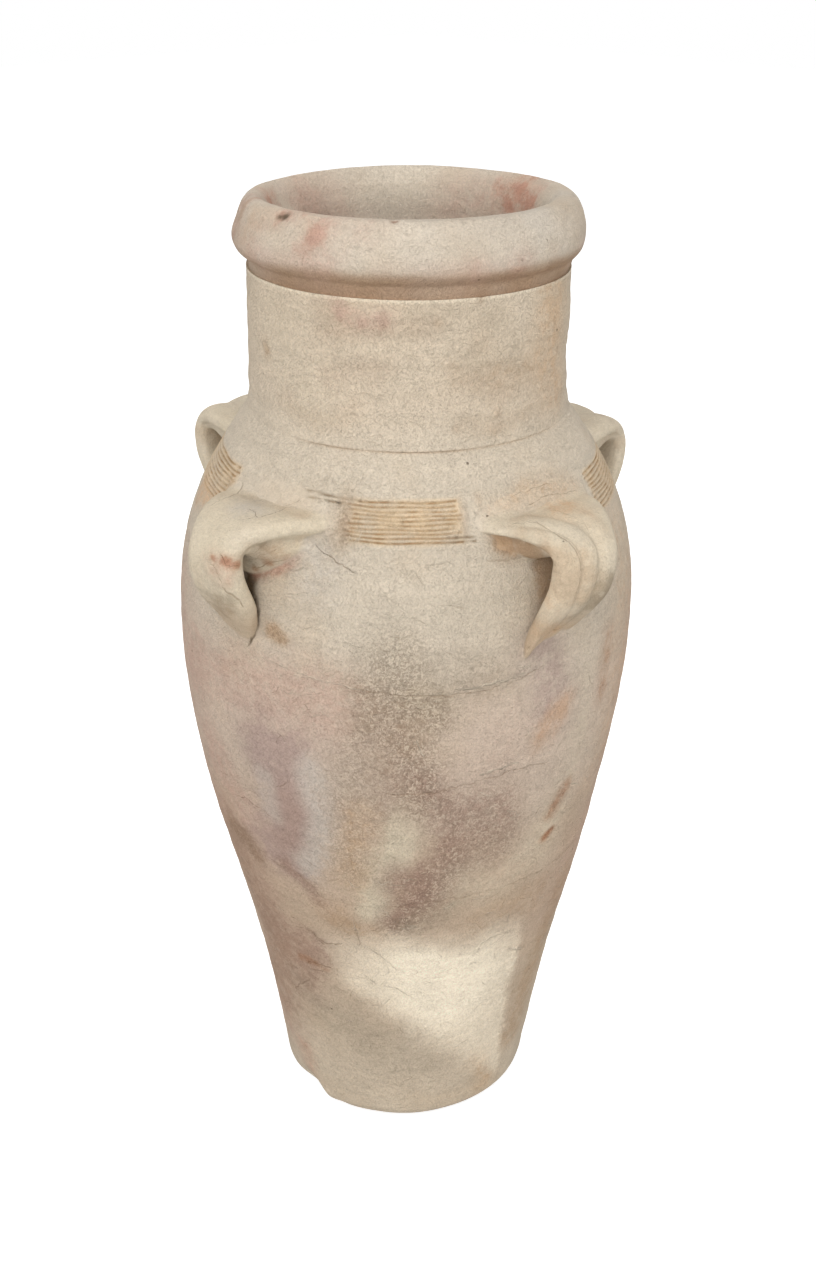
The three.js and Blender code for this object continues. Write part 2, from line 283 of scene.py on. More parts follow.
# Clay roughed up by the comb and by tools: angle, height, half angle, half height, rise
ROUGH_SPOTS = [
    (-16.6, 297, 2.0, 7, 0.9), (15, 299, 1.4, 7, 0.5), (20, 305, 1.2, 2.4, 0.5), (-60, 297, 2, 7, 0.6),
    (22, 240.5, 5, 1.4, 0.5), (27, 201.5, 5, 1.2, 0.4), (-9, 96, 7, 4, 0.25), (42, 90, 1.5, 9, 1.0),
    (41.5, 72, 1.3, 9, 0.8), (-35, 90, 8, 5, 0.3), (36, 24, 4, 9, 0.3), (-57.5, 349, 2.4, 3.2, 0.9),
    (24, 374, 1.6, 2.2, 0.6), (9.4, 366, 1.5, 1.8, 0.5), (31, 332, 1.8, 2, 0.6), (30, 325, 1.6, 1.8, 0.5),
    (16, 327.5, 1.5, 1.6, 0.5), (24, 358, 4, 5, 0.3),
]

# How many lines the comb draws, how deep they are, and how deep the scraped patch is
COMB_LINES = 10
COMB_DEPTH = 0.65
SCRAPE_DEPTH = 0.9
# Combed bands between the handles: from, to, lowest line, highest line
COMB_ARCS = [
    (-14.6, 13.6, 292.4, 305.0),
    (63, 99, 289.2, 302.4),
    (150, 208, 290.5, 303.5),
    (-99, -58.5, 291.4, 304.8),
]
# Lines of the comb that ran on past the rest: from, to, and the height at either end
COMB_STRAYS = [
    (-30.3, -13, 305.8, 305.0),
    (-29.4, -13, 303.9, 303.6),
    (10, 17.9, 292.4, 292.1),
    (10, 17.2, 293.8, 293.5),
]


# How far places on a wall of the given radius lie from a path, in mm
def stroke(front, z, path, radius):
    path = np.array(path, float)
    turn = np.radians(1) * radius
    best = np.full(np.shape(front), 1e9)
    for (a0, z0), (a1, z1) in zip(path, path[1:]):
        x, y = apart(front, a0) * turn, z - z0
        dx, dy = (a1 - a0) * np.mean(turn), z1 - z0
        t = np.clip((x * dx + y * dy) / (dx * dx + dy * dy), 0, 1)
        best = np.minimum(best, np.hypot(x - t * dx, y - t * dy))
    return best


# The comb's grooves, the band that it went over and its stray lines, each as a share from 0 to 1
def combing(front, z):
    rng = np.random.default_rng(7)
    groove, band, stray = np.zeros((3, *np.shape(front)))
    for start, end, low, high in COMB_ARCS:
        middle = (start + end) / 2
        here = apart(front, middle) + middle
        pitch = (high - low) / (COMB_LINES - 1)
        for line in range(COMB_LINES):
            first, last = start + rng.uniform(-2.4, 1), end + rng.uniform(-1.6, 1.2)
            level = low + line * pitch + 0.16 * np.sin(here * 0.35 + line) + rng.uniform(-0.08, 0.08)
            along = between(here, first - 0.4, first + 0.4, last - 0.4, last + 0.4)
            groove = np.maximum(groove, along * bell(z - level, 0.25 * pitch))
        inside = between(here, start - 2.2, start + 0.5, end - 0.5, end + 2.2)
        band = np.maximum(band, inside * between(z, low - 2, low, high, high + 2))
    for start, end, z0, z1 in COMB_STRAYS:
        level = z0 + (z1 - z0) * (front - start) / (end - start)
        along = between(front, start - 0.6, start + 0.8, end - 0.4, end + 0.4)
        stray = np.maximum(stray, along * bell(z - level, 0.4))
    return groove, band, stray


# The scraped patch low on the front right, as a share from 0 to 1
def scraped(front, z, points):
    ragged = cloudy(points, 12, 4, 71)
    right = smooth(-2.5, 2.5, 43.5 + (65 - z) * 0.05 - front + 3.5 * ragged)
    lower = smooth(-12, 10, z - (65 - front) + 6 * ragged)
    upper = 1 - smooth(104, 132, z + 0.25 * np.abs(front + 2) + 6 * ragged)
    left = smooth(-36, -12, front + 6 * ragged)
    return right * lower * upper * left


# The sum of a table of dents, rough spots or glows
def bumps(front, z, table):
    total = np.zeros(np.shape(front))
    for at, height, wide, tall, rise in table:
        total += rise * bell(apart(front, at), wide) * bell(z - height, tall)
    return total


# How far the joint under the neck shows, from 0 to 1
def neck_joint(front, points):
    seen = between(front, -50, -24, 50, 68) + 0.6 * smooth(100, 130, np.abs(front))
    return seen * np.clip(0.85 + 0.5 * cloudy(points, 16, 3, 16), 0, 1)


# How far the fired skin stands off the true outline
def skin(front, z, points):
    rings = noise(points * (0.02, 0.02, 1), 5.5, 3) + 0.6 * noise(points * (0.03, 0.03, 1), 2.4, 4)
    on_neck = between(z, neck_z - 1, neck_z + 8, neck_top - 6, neck_top)
    on_body = between(z, heel_z - 2, heel_z + 4, neck_z - 2, neck_z)
    d = 0.32 * cloudy(points, 80, 2, 1) + 0.16 * cloudy(points, 14, 3, 2)
    d += rings * (0.1 + 0.2 * on_neck)
    d += 0.5 * on_neck * noise(points * (0.04, 0.04, 1), 12, 9)
    d += bumps(front, z, DENTS)
    for path, width, depth, _ in TOOL_LINES:
        away = stroke(front, z, path, wall_radius(z))
        d += on_body * depth * (0.7 * bell(away - 1.4 * width, width) - bell(away, width))
    groove, _, stray = combing(front, z)
    d -= COMB_DEPTH * np.maximum(groove, stray) * (0.85 + 0.3 * noise(points, 3, 12))
    d += bumps(front, z, ROUGH_SPOTS) * (0.5 + noise(points, 1.8, 14) + 0.5 * noise(points, 0.9, 15))
    d -= SCRAPE_DEPTH * scraped(front, z, points)
    joint = neck_joint(front, points)
    d -= NECK_GROOVE * joint * bell(z - neck_z, NECK_LINE)
    d += NECK_STEP * joint * (z > neck_z) * np.exp(-(z - neck_z) / 3)
    return d


# Colours, as they look in plain light. The darkest brown, smoke and ash also paint shade, and chalk paints a
# highlight.
def colour(code):
    srgb = np.array([int(code[k:k + 2], 16) for k in (0, 2, 4)]) / 255
    return np.where(srgb <= 0.04045, srgb / 12.92, ((srgb + 0.055) / 1.055) ** 2.4)


CLAY = {name: colour(code) for name, code in {
    "cream": "d6c8b0", "pale": "dccfbc", "chalk_and_highlight": "fff1d9", "buff": "c9b398", "tan": "b39577",
    "peach": "d6ae84", "comb": "a27c50", "honey": "dfc49e", "rose": "c3a190", "blush": "c08c76",
    "mauve": "9f8071", "lavender": "b0988e", "mist": "cfc6ba", "ash_and_shade": "a3947f", "smoke_and_shade": "97846c",
    "umber": "9c7f69", "rust": "a06a45", "soot_and_shade": "54432f",
}.items()}

# Ground colour of the walls by height
GROUND = [
    (0, "d2c3ae"), (30, "cfbea8"), (70, "c8b49d"), (110, "c5ae97"), (150, "c3ab94"), (190, "c8b5a3"),
    (220, "cfbcaa"), (246, "cfc0ad"), (270, "d0c3b0"), (300, "d5c8b5"), (318, "d5c7b3"), (336, "d7c6b0"),
    (372, "d8c7b0"),
]

# Stains on the walls, with painted shade beside the front handles: a path of places (front angle, height),
# half width in mm, colour, strength, flecks
STAINS_AND_SHADE = [
    ([(-66, 226), (-41, 229), (-26, 231), (-16, 226)], 20, "rose", 0.5, 0),
    ([(-86, 245), (-84, 160)], 30, "rose", 0.5, 0),
    ([(-60, 190), (-50, 170), (-44, 158)], 12, "rose", 0.5, 0),
    ([(-60, 150), (-54, 96), (-66, 40)], 22, "rose", 0.55, 0),
    ([(84, 235), (78, 160), (66, 120)], 26, "rose", 0.45, 0),
    ([(72, 270), (70, 235), (66, 190)], 20, "peach", 0.3, 0),
    ([(20, 232), (26, 222), (22, 206)], 16, "rose", 0.22, 0),
    ([(46, 226), (47, 200), (42, 170)], 9, "cream", 0.4, 0),
    ([(-31.6, 258), (-30.6, 256.6)], 4.5, "tan", 0.8, 0.4),
    ([(-20, 276), (10, 280), (24, 272)], 18, "buff", 0.14, 0),
    ([(4, 243), (22, 244)], 8, "ash_and_shade", 0.35, 0.4),
    ([(-3, 250), (-4, 236), (-4, 222)], 13, "smoke_and_shade", 0.28, 1.5),
    ([(-8, 236), (6, 231)], 9, "smoke_and_shade", 0.3, 1.5),
    ([(-1, 220), (4, 206), (4, 192)], 12, "umber", 0.36, 1.2),
    ([(-10, 214), (-13, 197), (-14, 183), (-13, 160)], 12, "ash_and_shade", 0.32, 0.8),
    ([(-4, 206), (-4, 192), (-6, 176)], 11, "umber", 0.28, 0.8),
    ([(-12, 180), (-16, 160), (-9, 148)], 10, "peach", 0.35, 0.4),
    ([(2, 186), (-2, 169), (-6, 151), (-9, 136)], 7, "cream", 0.8, 0),
    ([(5, 193), (13, 179), (22, 183), (24, 168), (12, 168)], 13, "mauve", 0.46, 0.65),
    ([(12, 162), (5, 147), (3, 138), (0, 129)], 10, "mauve", 0.65, 0.6),
    ([(-3, 150), (9, 149)], 8, "mauve", 0.5, 0.6),
    ([(4, 126), (14, 136)], 8, "ash_and_shade", 0.45, 0.2),
    ([(17, 150), (27, 141), (36, 156)], 14, "cream", 0.4, 0),
    ([(24, 122), (34, 128), (44, 124)], 12, "tan", 0.4, 0),
    ([(32, 251), (36, 236), (38, 222)], 11, "lavender", 0.54, 0),
    ([(41, 225), (36, 215)], 5, "blush", 0.12, 0),
    ([(40, 222), (34, 212)], 5, "peach", 0.34, 0),
    ([(35, 212), (32, 207)], 3.5, "rust", 0.18, 0.2),
    ([(58, 240), (56, 216)], 6, "rust", 0.35, 0),
    ([(45.5, 185), (41.5, 174)], 4, "rust", 0.5, 0.3),
    ([(42.4, 161), (40, 157.5)], 2.8, "rust", 0.65, 0.3),
    ([(-33, 203), (-31, 186), (-31, 168), (-33, 156)], 18, "lavender", 0.82, 0),
    ([(-32, 182), (-33, 164)], 11, "mauve", 0.28, 0),
    ([(-23, 199), (-22, 178), (-22, 162), (-27, 151)], 7, "mist", 0.48, 0),
    ([(-38, 190), (-38, 172)], 5, "mist", 0.3, 0),
    ([(-58, 151), (-50, 150), (-47, 146)], 7, "umber", 0.7, 0.2),
    ([(-35, 147), (-30, 140), (-25, 133)], 5, "mauve", 0.5, 0.3),
    ([(-20, 126), (-13, 121)], 9, "tan", 0.5, 0),
    ([(-52, 98), (-40, 96), (-32, 101), (-40, 80)], 12, "mauve", 0.5, 0),
    ([(-60, 140), (-56, 110), (-52, 84), (-58, 60)], 20, "umber", 0.48, 0),
    ([(-39, 91), (-33, 92), (-29, 91)], 2, "rust", 0.4, 0.4),
    ([(-36, 62), (-14, 54), (4, 45)], 16, "ash_and_shade", 0.4, 0),
    ([(-30, 20), (10, 16), (40, 14)], 14, "buff", 0.2, 0),
    ([(33, 30), (37, 14)], 7, "peach", 0.4, 0.25),
    ([(-49, 28), (-51, 14)], 6, "blush", 0.35, 0),
    ([(62, 118), (57, 70), (54, 36)], 11, "tan", 0.5, 0),
    ([(26, 299), (36, 303), (46, 304), (55, 299)], 6, "peach", 0.3, 0.5),
    # Painted shade: the darkest brown in the slit behind the front left strap
    ([(-40, 284), (-41, 270), (-39, 258)], 4, "soot_and_shade", 0.75, 0),
    ([(-39, 279), (-33, 282), (-29.5, 283.5)], 3.2, "blush", 0.5, 0.3),
    # Painted shadow: tan on the wall right beside the front right strap, under its root
    ([(39, 281), (37, 275), (35.5, 268)], 8, "tan", 0.74, 0),
    ([(-80, 289), (-64, 291)], 6, "peach", 0.5, 0),
    # Painted shade: tan at the left end of the recess under the front right strap's root
    ([(24, 289.5), (28, 288)], 5, "tan", 0.7, 0),
    ([(-18.4, 302), (-18, 291)], 5, "comb", 0.3, 0.6),
    ([(-27, 292), (-20, 281), (-24, 276)], 9, "mist", 0.5, 0),
    ([(60, 372), (56, 352), (62, 336)], 12, "peach", 0.4, 0),
    ([(-22, 370), (-8, 369)], 6, "rose", 0.55, 0),
    ([(-58.5, 350), (-57, 348)], 2.4, "tan", 0.3, 0),
    ([(22, 350), (36, 351)], 7, "ash_and_shade", 0.3, 0),
    ([(10, 369), (30, 368)], 6, "ash_and_shade", 0.3, 0),
    ([(-30, 364), (-10, 363), (8, 365)], 5, "umber", 0.3, 0),
    ([(-26, 348), (-8, 346)], 5, "umber", 0.28, 0),
    ([(14, 345), (34, 343), (46, 346)], 5, "tan", 0.35, 0),
    ([(-48, 334), (-30, 331), (-16, 333)], 4, "tan", 0.25, 0),
    ([(20, 329), (46, 330)], 4, "tan", 0.25, 0),
    ([(-52, 356), (-34, 338)], 12, "cream", 0.3, 0),
    ([(104, 236), (124, 226)], 20, "rose", 0.55, 0),
    ([(160, 236), (166, 200), (170, 172)], 14, "smoke_and_shade", 0.36, 0.8),
    ([(200, 244), (210, 228)], 18, "mist", 0.5, 0),
    ([(194, 158), (186, 128)], 15, "mauve", 0.55, 0.5),
    ([(142, 172), (136, 140)], 9, "cream", 0.6, 0),
    ([(223, 196), (228, 140)], 14, "lavender", 0.45, 0),
    ([(150, 86), (176, 74)], 20, "chalk_and_highlight", 0.6, 0),
    ([(205, 74), (228, 62)], 20, "tan", 0.5, 0),
    ([(112, 120), (108, 84)], 12, "rose", 0.5, 0),
    ([(135.6, 187), (134, 177)], 2.2, "rust", 0.4, 0),
    ([(165, 352), (190, 340)], 14, "rose", 0.35, 0),
    ([(122, 300), (138, 300)], 7, "peach", 0.5, 0),
    ([(-138, 300), (-122, 300)], 7, "peach", 0.5, 0),
]

# How many half widths a stain reaches as it fades, and the smallest radius that one lies at
STAIN_FADE = 1.7
STAIN_RADIUS = 45
# Painted shadow: the path of the dark gap beside the front left handle
HANDLE_GAP_SHADOW = [
    (-43.4, 277), (-41.6, 271.5), (-39.4, 266), (-37.9, 261.5), (-37.3, 257), (-38.2, 252), (-40.2, 247.5),
]
# Painted highlight on the chalky scrape, strongest where it shines most: angle, height, half angle, half
# height, share
SCRAPE_HIGHLIGHT = [(15, 84, 20, 24, 0.75), (2, 103, 7, 7, 0.45)]
# Columns of a coat of paint
TINT, STAIN_AND_SHADE = slice(0, 3), slice(3, 6)
COVER, FLECK, SIDE, DEEP = range(6, 10)
# Cracks: the half widths off that stand for none, the room round a line, and how far it wanders
NO_CRACK = 9.0
CRACK_ROOM = 3
CRACK_WANDER = 0.8
# One degree round the jar, in mm
DEGREE_RUN = 1.5


def lay(tint, name, share):
    return tint + (CLAY[name] - tint) * np.clip(share, 0, 1)[..., None]


# A coat of paint: the tint, the stain and painted shade laid over it, how far they cover, its flecks, and its
# cracks
def coat(tint, stain_and_shade, cover, fleck, cracks=None):
    side, deep = cracks or (np.full(cover.shape, NO_CRACK), np.zeros(cover.shape))
    return np.concatenate([tint, stain_and_shade] + [layer[..., None] for layer in (cover, fleck, side, deep)], axis=-1)


# How far points lie to the left or the right of a line over a surface, in mm
def line_side(points, facing, line):
    best = np.full(len(points), 1e9)
    signed = best.copy()
    for a, b in zip(line, line[1:]):
        run = b - a
        share = np.clip(((points - a) @ run) / (run @ run), 0, 1)
        off = points - a - share[:, None] * run
        gap = np.linalg.norm(off, axis=-1)
        side = np.sign((np.cross(run, off) * facing).sum(axis=-1))
        signed = np.where(gap < best, gap * side, signed)
        best = np.minimum(best, gap)
    return signed


# Cracks on a surface: how many half widths off the nearest one, left or right of it, and how dark it is
def cracked(points, facing, lines):
    side = np.full(points.shape[:-1], NO_CRACK)
    deep = np.zeros(points.shape[:-1])
    for line, width, dark in lines:
        low, high = line.min(axis=0) - CRACK_ROOM, line.max(axis=0) + CRACK_ROOM
        near = ((points > low) & (points < high)).all(axis=-1)
        if near.any():
            spots = points[near]
            wander = np.stack([noise(spots, 3.2, seed) for seed in (81, 82, 83)], axis=-1)
            signed = line_side(spots + CRACK_WANDER * wander, facing[near], line)
            share = dark * (1 - smooth(0.9, 1.8, np.abs(signed)))
            stronger = np.abs(share) > np.abs(deep[near])
            side[near] = np.where(stronger, np.clip(signed / width, -NO_CRACK, NO_CRACK), side[near])
            deep[near] = np.where(stronger, share, deep[near])
    return side, deep


# A path of places on the wall as points in space, close enough together to follow its curve
def on_wall(path):
    angles, heights = np.array(path, float).T
    steps = np.r_[0, np.cumsum(np.hypot(np.diff(angles), np.diff(heights) / DEGREE_RUN))]
    at = np.linspace(0, steps[-1], int(steps[-1] / 2) + 2)
    z = np.interp(at, steps, heights)
    return faced(wall_radius(z), np.interp(at, steps, angles), z)


# Fine scratches strewn over the walls: a line, half width, and darkness, which is negative for a pale one
def strewn(count, low, high, seed):
    rng = np.random.default_rng(seed)
    lines = []
    for _ in range(count):
        at, height = rng.normal(0, 38), rng.uniform(low, high)
        length, lean, bend = rng.uniform(3, 10), rng.normal(0, 0.8), rng.normal(0, 1.2)
        s = np.linspace(-0.5, 0.5, 4)
        z = height + length * np.cumsum(np.sin(lean + bend * s)) / 4
        turn = length * np.cumsum(np.cos(lean + bend * s)) / 4 / wall_radius(height)
        line = around(wall_radius(z), np.radians(at + FRONT_COMPASS) + turn, z)
        lines.append((line, rng.uniform(0.22, 0.36), rng.choice([-0.6, -0.45, 0.22, 0.32])))
    return lines


def ground(z):
    heights = [height for height, _ in GROUND]
    tones = np.array([colour(code) for _, code in GROUND])
    return np.stack([np.interp(z, heights, tones[:, k]) for k in range(3)], axis=-1)


WALL_LINES = [(on_wall(path), width, dark) for path, width, _, dark in TOOL_LINES]
WALL_LINES += strewn(150, 60, 255, 91) + strewn(30, 255, 300, 92) + strewn(30, 20, 120, 93)


def wall_paint(front, z, points):
    tint = ground(z)
    tint = lay(tint, "pale", 0.3 * smooth(-0.2, 0.9, cloudy(points, 36, 4, 21)))
    tint = lay(tint, "buff", 0.4 * smooth(0, 0.9, cloudy(points, 26, 4, 22)))
    stain_and_shade = tint.copy()
    cover, fleck = np.zeros((2, *front.shape))
    radius = wall_radius(z)
    drift = front + np.degrees(4.5 * cloudy(points, 20, 4, 23) / radius)
    rise = z + 6 * cloudy(points, 22, 4, 24)
    for path, half, name, strength, flecked in STAINS_AND_SHADE:
        angles, heights = zip(*path)
        middle = (min(angles) + max(angles)) / 2
        span = (max(angles) - min(angles)) / 2 + np.degrees(STAIN_FADE * half / STAIN_RADIUS)
        near = (np.abs(apart(drift, middle)) < span) & (rise > min(heights) - STAIN_FADE * half)
        near &= rise < max(heights) + STAIN_FADE * half
        if near.any():
            away = stroke(drift[near], rise[near], path, radius[near]) / half
            share = strength * (1 - smooth(0.15, STAIN_FADE, away))
            tint[near] = lay(tint[near], name, 0.55 * share)
            stain_and_shade[near] = lay(stain_and_shade[near], name, 1.5 * share)
            cover[near] = np.maximum(cover[near], share)
            fleck[near] = np.maximum(fleck[near], share * flecked)
    # Painted shadow: the darkest brown along the gap beside the front left handle, wider as it rises
    shadow_gap_width = 0.5 + 0.7 * smooth(247, 256, z) + 2.1 * smooth(256, 268, z)
    gap = stroke(front, z, HANDLE_GAP_SHADOW, radius) / shadow_gap_width
    tint = lay(tint, "soot_and_shade", 0.9 * (1 - smooth(0.3, 1, gap)))
    worn = scraped(front, z, points)
    # The scraped patch turned chalky, with a painted highlight added where it is brightest
    tint = lay(tint, "chalk_and_highlight", worn * (0.56 + bumps(front, z, SCRAPE_HIGHLIGHT)))
    cover = cover * (1 - 0.85 * worn)
    tint = lay(tint, "tan", 0.4 * neck_joint(front, points) * bell(z - neck_z, NECK_LINE))
    # Painted highlight: a pale line along the neck's top edge, under the lip
    tint = lay(tint, "chalk_and_highlight", 0.45 * smooth(neck_top - 1.6, neck_top - 0.4, z))
    groove, band, stray = combing(front, z)
    tint = lay(tint, "honey", 0.6 * band * (0.8 + 0.5 * noise(points, 7, 25)))
    # Painted shade: the grooves of the comb darkened
    tint = lay(tint, "comb", 0.72 * groove * (0.75 + 0.6 * noise(points, 3, 26)))
    tint = lay(tint, "smoke_and_shade", 0.7 * stray * (0.7 + 0.8 * noise(points, 2.5, 27)))
    tint = lay(tint, "tan", 0.6 * np.clip(bumps(front, z, ROUGH_SPOTS), 0, 1) * smooth(288, 290, z))
    return coat(tint, stain_and_shade, cover, fleck, cracked(points, points * (1, 1, 0), WALL_LINES))


# Paint with round marks laid over a tint: angle, radius, height, size, colour, strength
def marked(tint, points, marks, ragged):
    stain_and_shade = tint.copy()
    cover = np.zeros(points.shape[:-1])
    for at, radius, height, size, name, strength in marks:
        away = np.linalg.norm(points - faced(radius, at, height), axis=-1)
        share = strength * (1 - smooth(0.1, 1.5, away / size + ragged))
        tint = lay(tint, name, 0.5 * share)
        stain_and_shade = lay(stain_and_shade, name, 1.5 * share)
        cover = np.maximum(cover, share)
    return coat(tint, stain_and_shade, cover, np.zeros(cover.shape))


# Meshes from grids of points: rows along a profile, columns round it
def mesh_piece(name, points, faces, uv, paint, sharp_rows, columns):
    mesh = bpy.data.meshes.new(name)
    sizes = np.array([len(f) for f in faces], np.int32)
    mesh.vertices.add(len(points))
    mesh.vertices.foreach_set("co", (points * MM).astype(np.float32).ravel())
    mesh.loops.add(int(sizes.sum()))
    mesh.loops.foreach_set("vertex_index", np.concatenate(faces).astype(np.int32))
    mesh.polygons.add(len(faces))
    mesh.polygons.foreach_set("loop_start", np.r_[0, np.cumsum(sizes)[:-1]].astype(np.int32))
    mesh.update(calc_edges=True)
    layer = mesh.uv_layers.new(name="OFBake")
    layer.uv.foreach_set("vector", uv.astype(np.float32).ravel())
    for layer_name, part in (("tint", TINT), ("stain_and_shade", STAIN_AND_SHADE)):
        layer = mesh.color_attributes.new(layer_name, "FLOAT_COLOR", "POINT")
        rgba = np.c_[paint[:, part], np.ones(len(paint))]
        layer.data.foreach_set("color", rgba.astype(np.float32).ravel())
    for layer_name, column in (("cover", COVER), ("fleck", FLECK), ("side", SIDE), ("deep", DEEP)):
        layer = mesh.attributes.new(layer_name, "FLOAT", "POINT")
        layer.data.foreach_set("value", paint[:, column].astype(np.float32))
    mesh.shade_smooth()
    ends = np.empty(len(mesh.edges) * 2, np.int32)
    mesh.edges.foreach_get("vertices", ends)
    rows = ends.reshape(-1, 2) // columns
    sharp = (rows[:, 0] == rows[:, 1]) & np.isin(rows[:, 0], sharp_rows)
    mark = mesh.attributes.get("sharp_edge") or mesh.attributes.new("sharp_edge", "BOOLEAN", "EDGE")
    mark.data.foreach_set("value", sharp)
    mesh.validate()
    return mesh


# The bake's square: the grid's corner and width, and the middle and size of the spot that its ends share
BAKE_CORNER = 0.02
BAKE_WIDTH = 0.94
END_MIDDLE = 0.98
END_SIZE = 0.01


# The faces of a grid of points, and where their corners lie on the bake's square
def grid_layout(rows, columns, closed):
    bands = rows if closed else rows - 1
    i = np.repeat(np.arange(bands), columns)
    j = np.tile(np.arange(columns), bands)
    corners = np.stack([np.c_[i, j], np.c_[i, j + 1], np.c_[i + 1, j + 1], np.c_[i + 1, j]], axis=1)
    faces = corners[..., 0] % rows * columns + corners[..., 1] % columns
    uv = BAKE_CORNER + BAKE_WIDTH * corners[..., ::-1] / (columns, bands)
    return list(faces), uv.reshape(-1, 2)


def place(name, grid, paint, closed, sharp_rows, material, node):
    rows, columns = grid.shape[:2]
    faces, uv = grid_layout(rows, columns, closed)
    if not closed:
        ring = np.arange(columns)
        turn = ring / columns * 2 * np.pi
        spot = END_MIDDLE + END_SIZE * np.c_[np.cos(turn), np.sin(turn)]
        faces += [ring[::-1], (rows - 1) * columns + ring]
        uv = np.r_[uv, spot, spot]
    paint = paint.reshape(rows * columns, -1)
    mesh = mesh_piece(name, grid.reshape(-1, 3), faces, uv, paint, sharp_rows, columns)
    piece = add_object(name, mesh)
    mesh.materials.append(material)
    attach(piece, "root")
    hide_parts(node)


def rounds(columns):
    even = np.arange(columns) / columns * 2 * np.pi
    front = np.degrees(even - CROWDING * np.sin(even))
    return np.radians(front + FRONT_COMPASS), apart(front, 0)


# A turned piece. Each side is a profile of points (radius, height), outside first and traced with the clay on
# its left, with its relief and its paint. The relief follows the normals unless directions are given.
def turned(name, sides, columns, material, node, closed=True, directions=None):
    compass, front_line = rounds(columns)
    grids, paints, sharp, start = [], [], [], 0
    for k, (profile, relief, painter) in enumerate(sides):
        out = np.array(directions[k:k + 1]) if directions else normals(profile)
        front = np.broadcast_to(front_line, (len(profile), columns))
        radius = np.broadcast_to(profile[:, :1], front.shape)
        height = np.broadcast_to(profile[:, 1:], front.shape)
        points = around(radius, compass, height)
        stand = relief(front, height, points)
        lifted = np.clip(height + out[:, 1:] * stand, 0, rim_top)
        grids.append(around(radius + out[:, :1] * stand, compass, lifted))
        paints.append(painter(front, height, points))
        sharp += [start, start + len(profile) - 1]
        start += len(profile)
    sharp = sharp if closed else sharp[1:-1]
    place(name, np.concatenate(grids), np.concatenate(paints), closed, sharp, material, node)


def inner_skin(front, z, points):
    rings = noise(points * (0.02, 0.02, 1), 5, 41) + 0.5 * noise(points * (0.04, 0.04, 1), 2.2, 42)
    return 0.2 * cloudy(points, 30, 2, 43) + 0.18 * rings


def inner_paint(front, z, points):
    tint = lay(CLAY["buff"], "pale", 1.1 + 0.3 * cloudy(points, 26, 3, 44))
    tint = lay(tint, "rose", 0.5 * smooth(-0.2, 0.8, cloudy(points, 40, 2, 45)))
    none = np.zeros(front.shape)
    return coat(tint, tint, none, none)


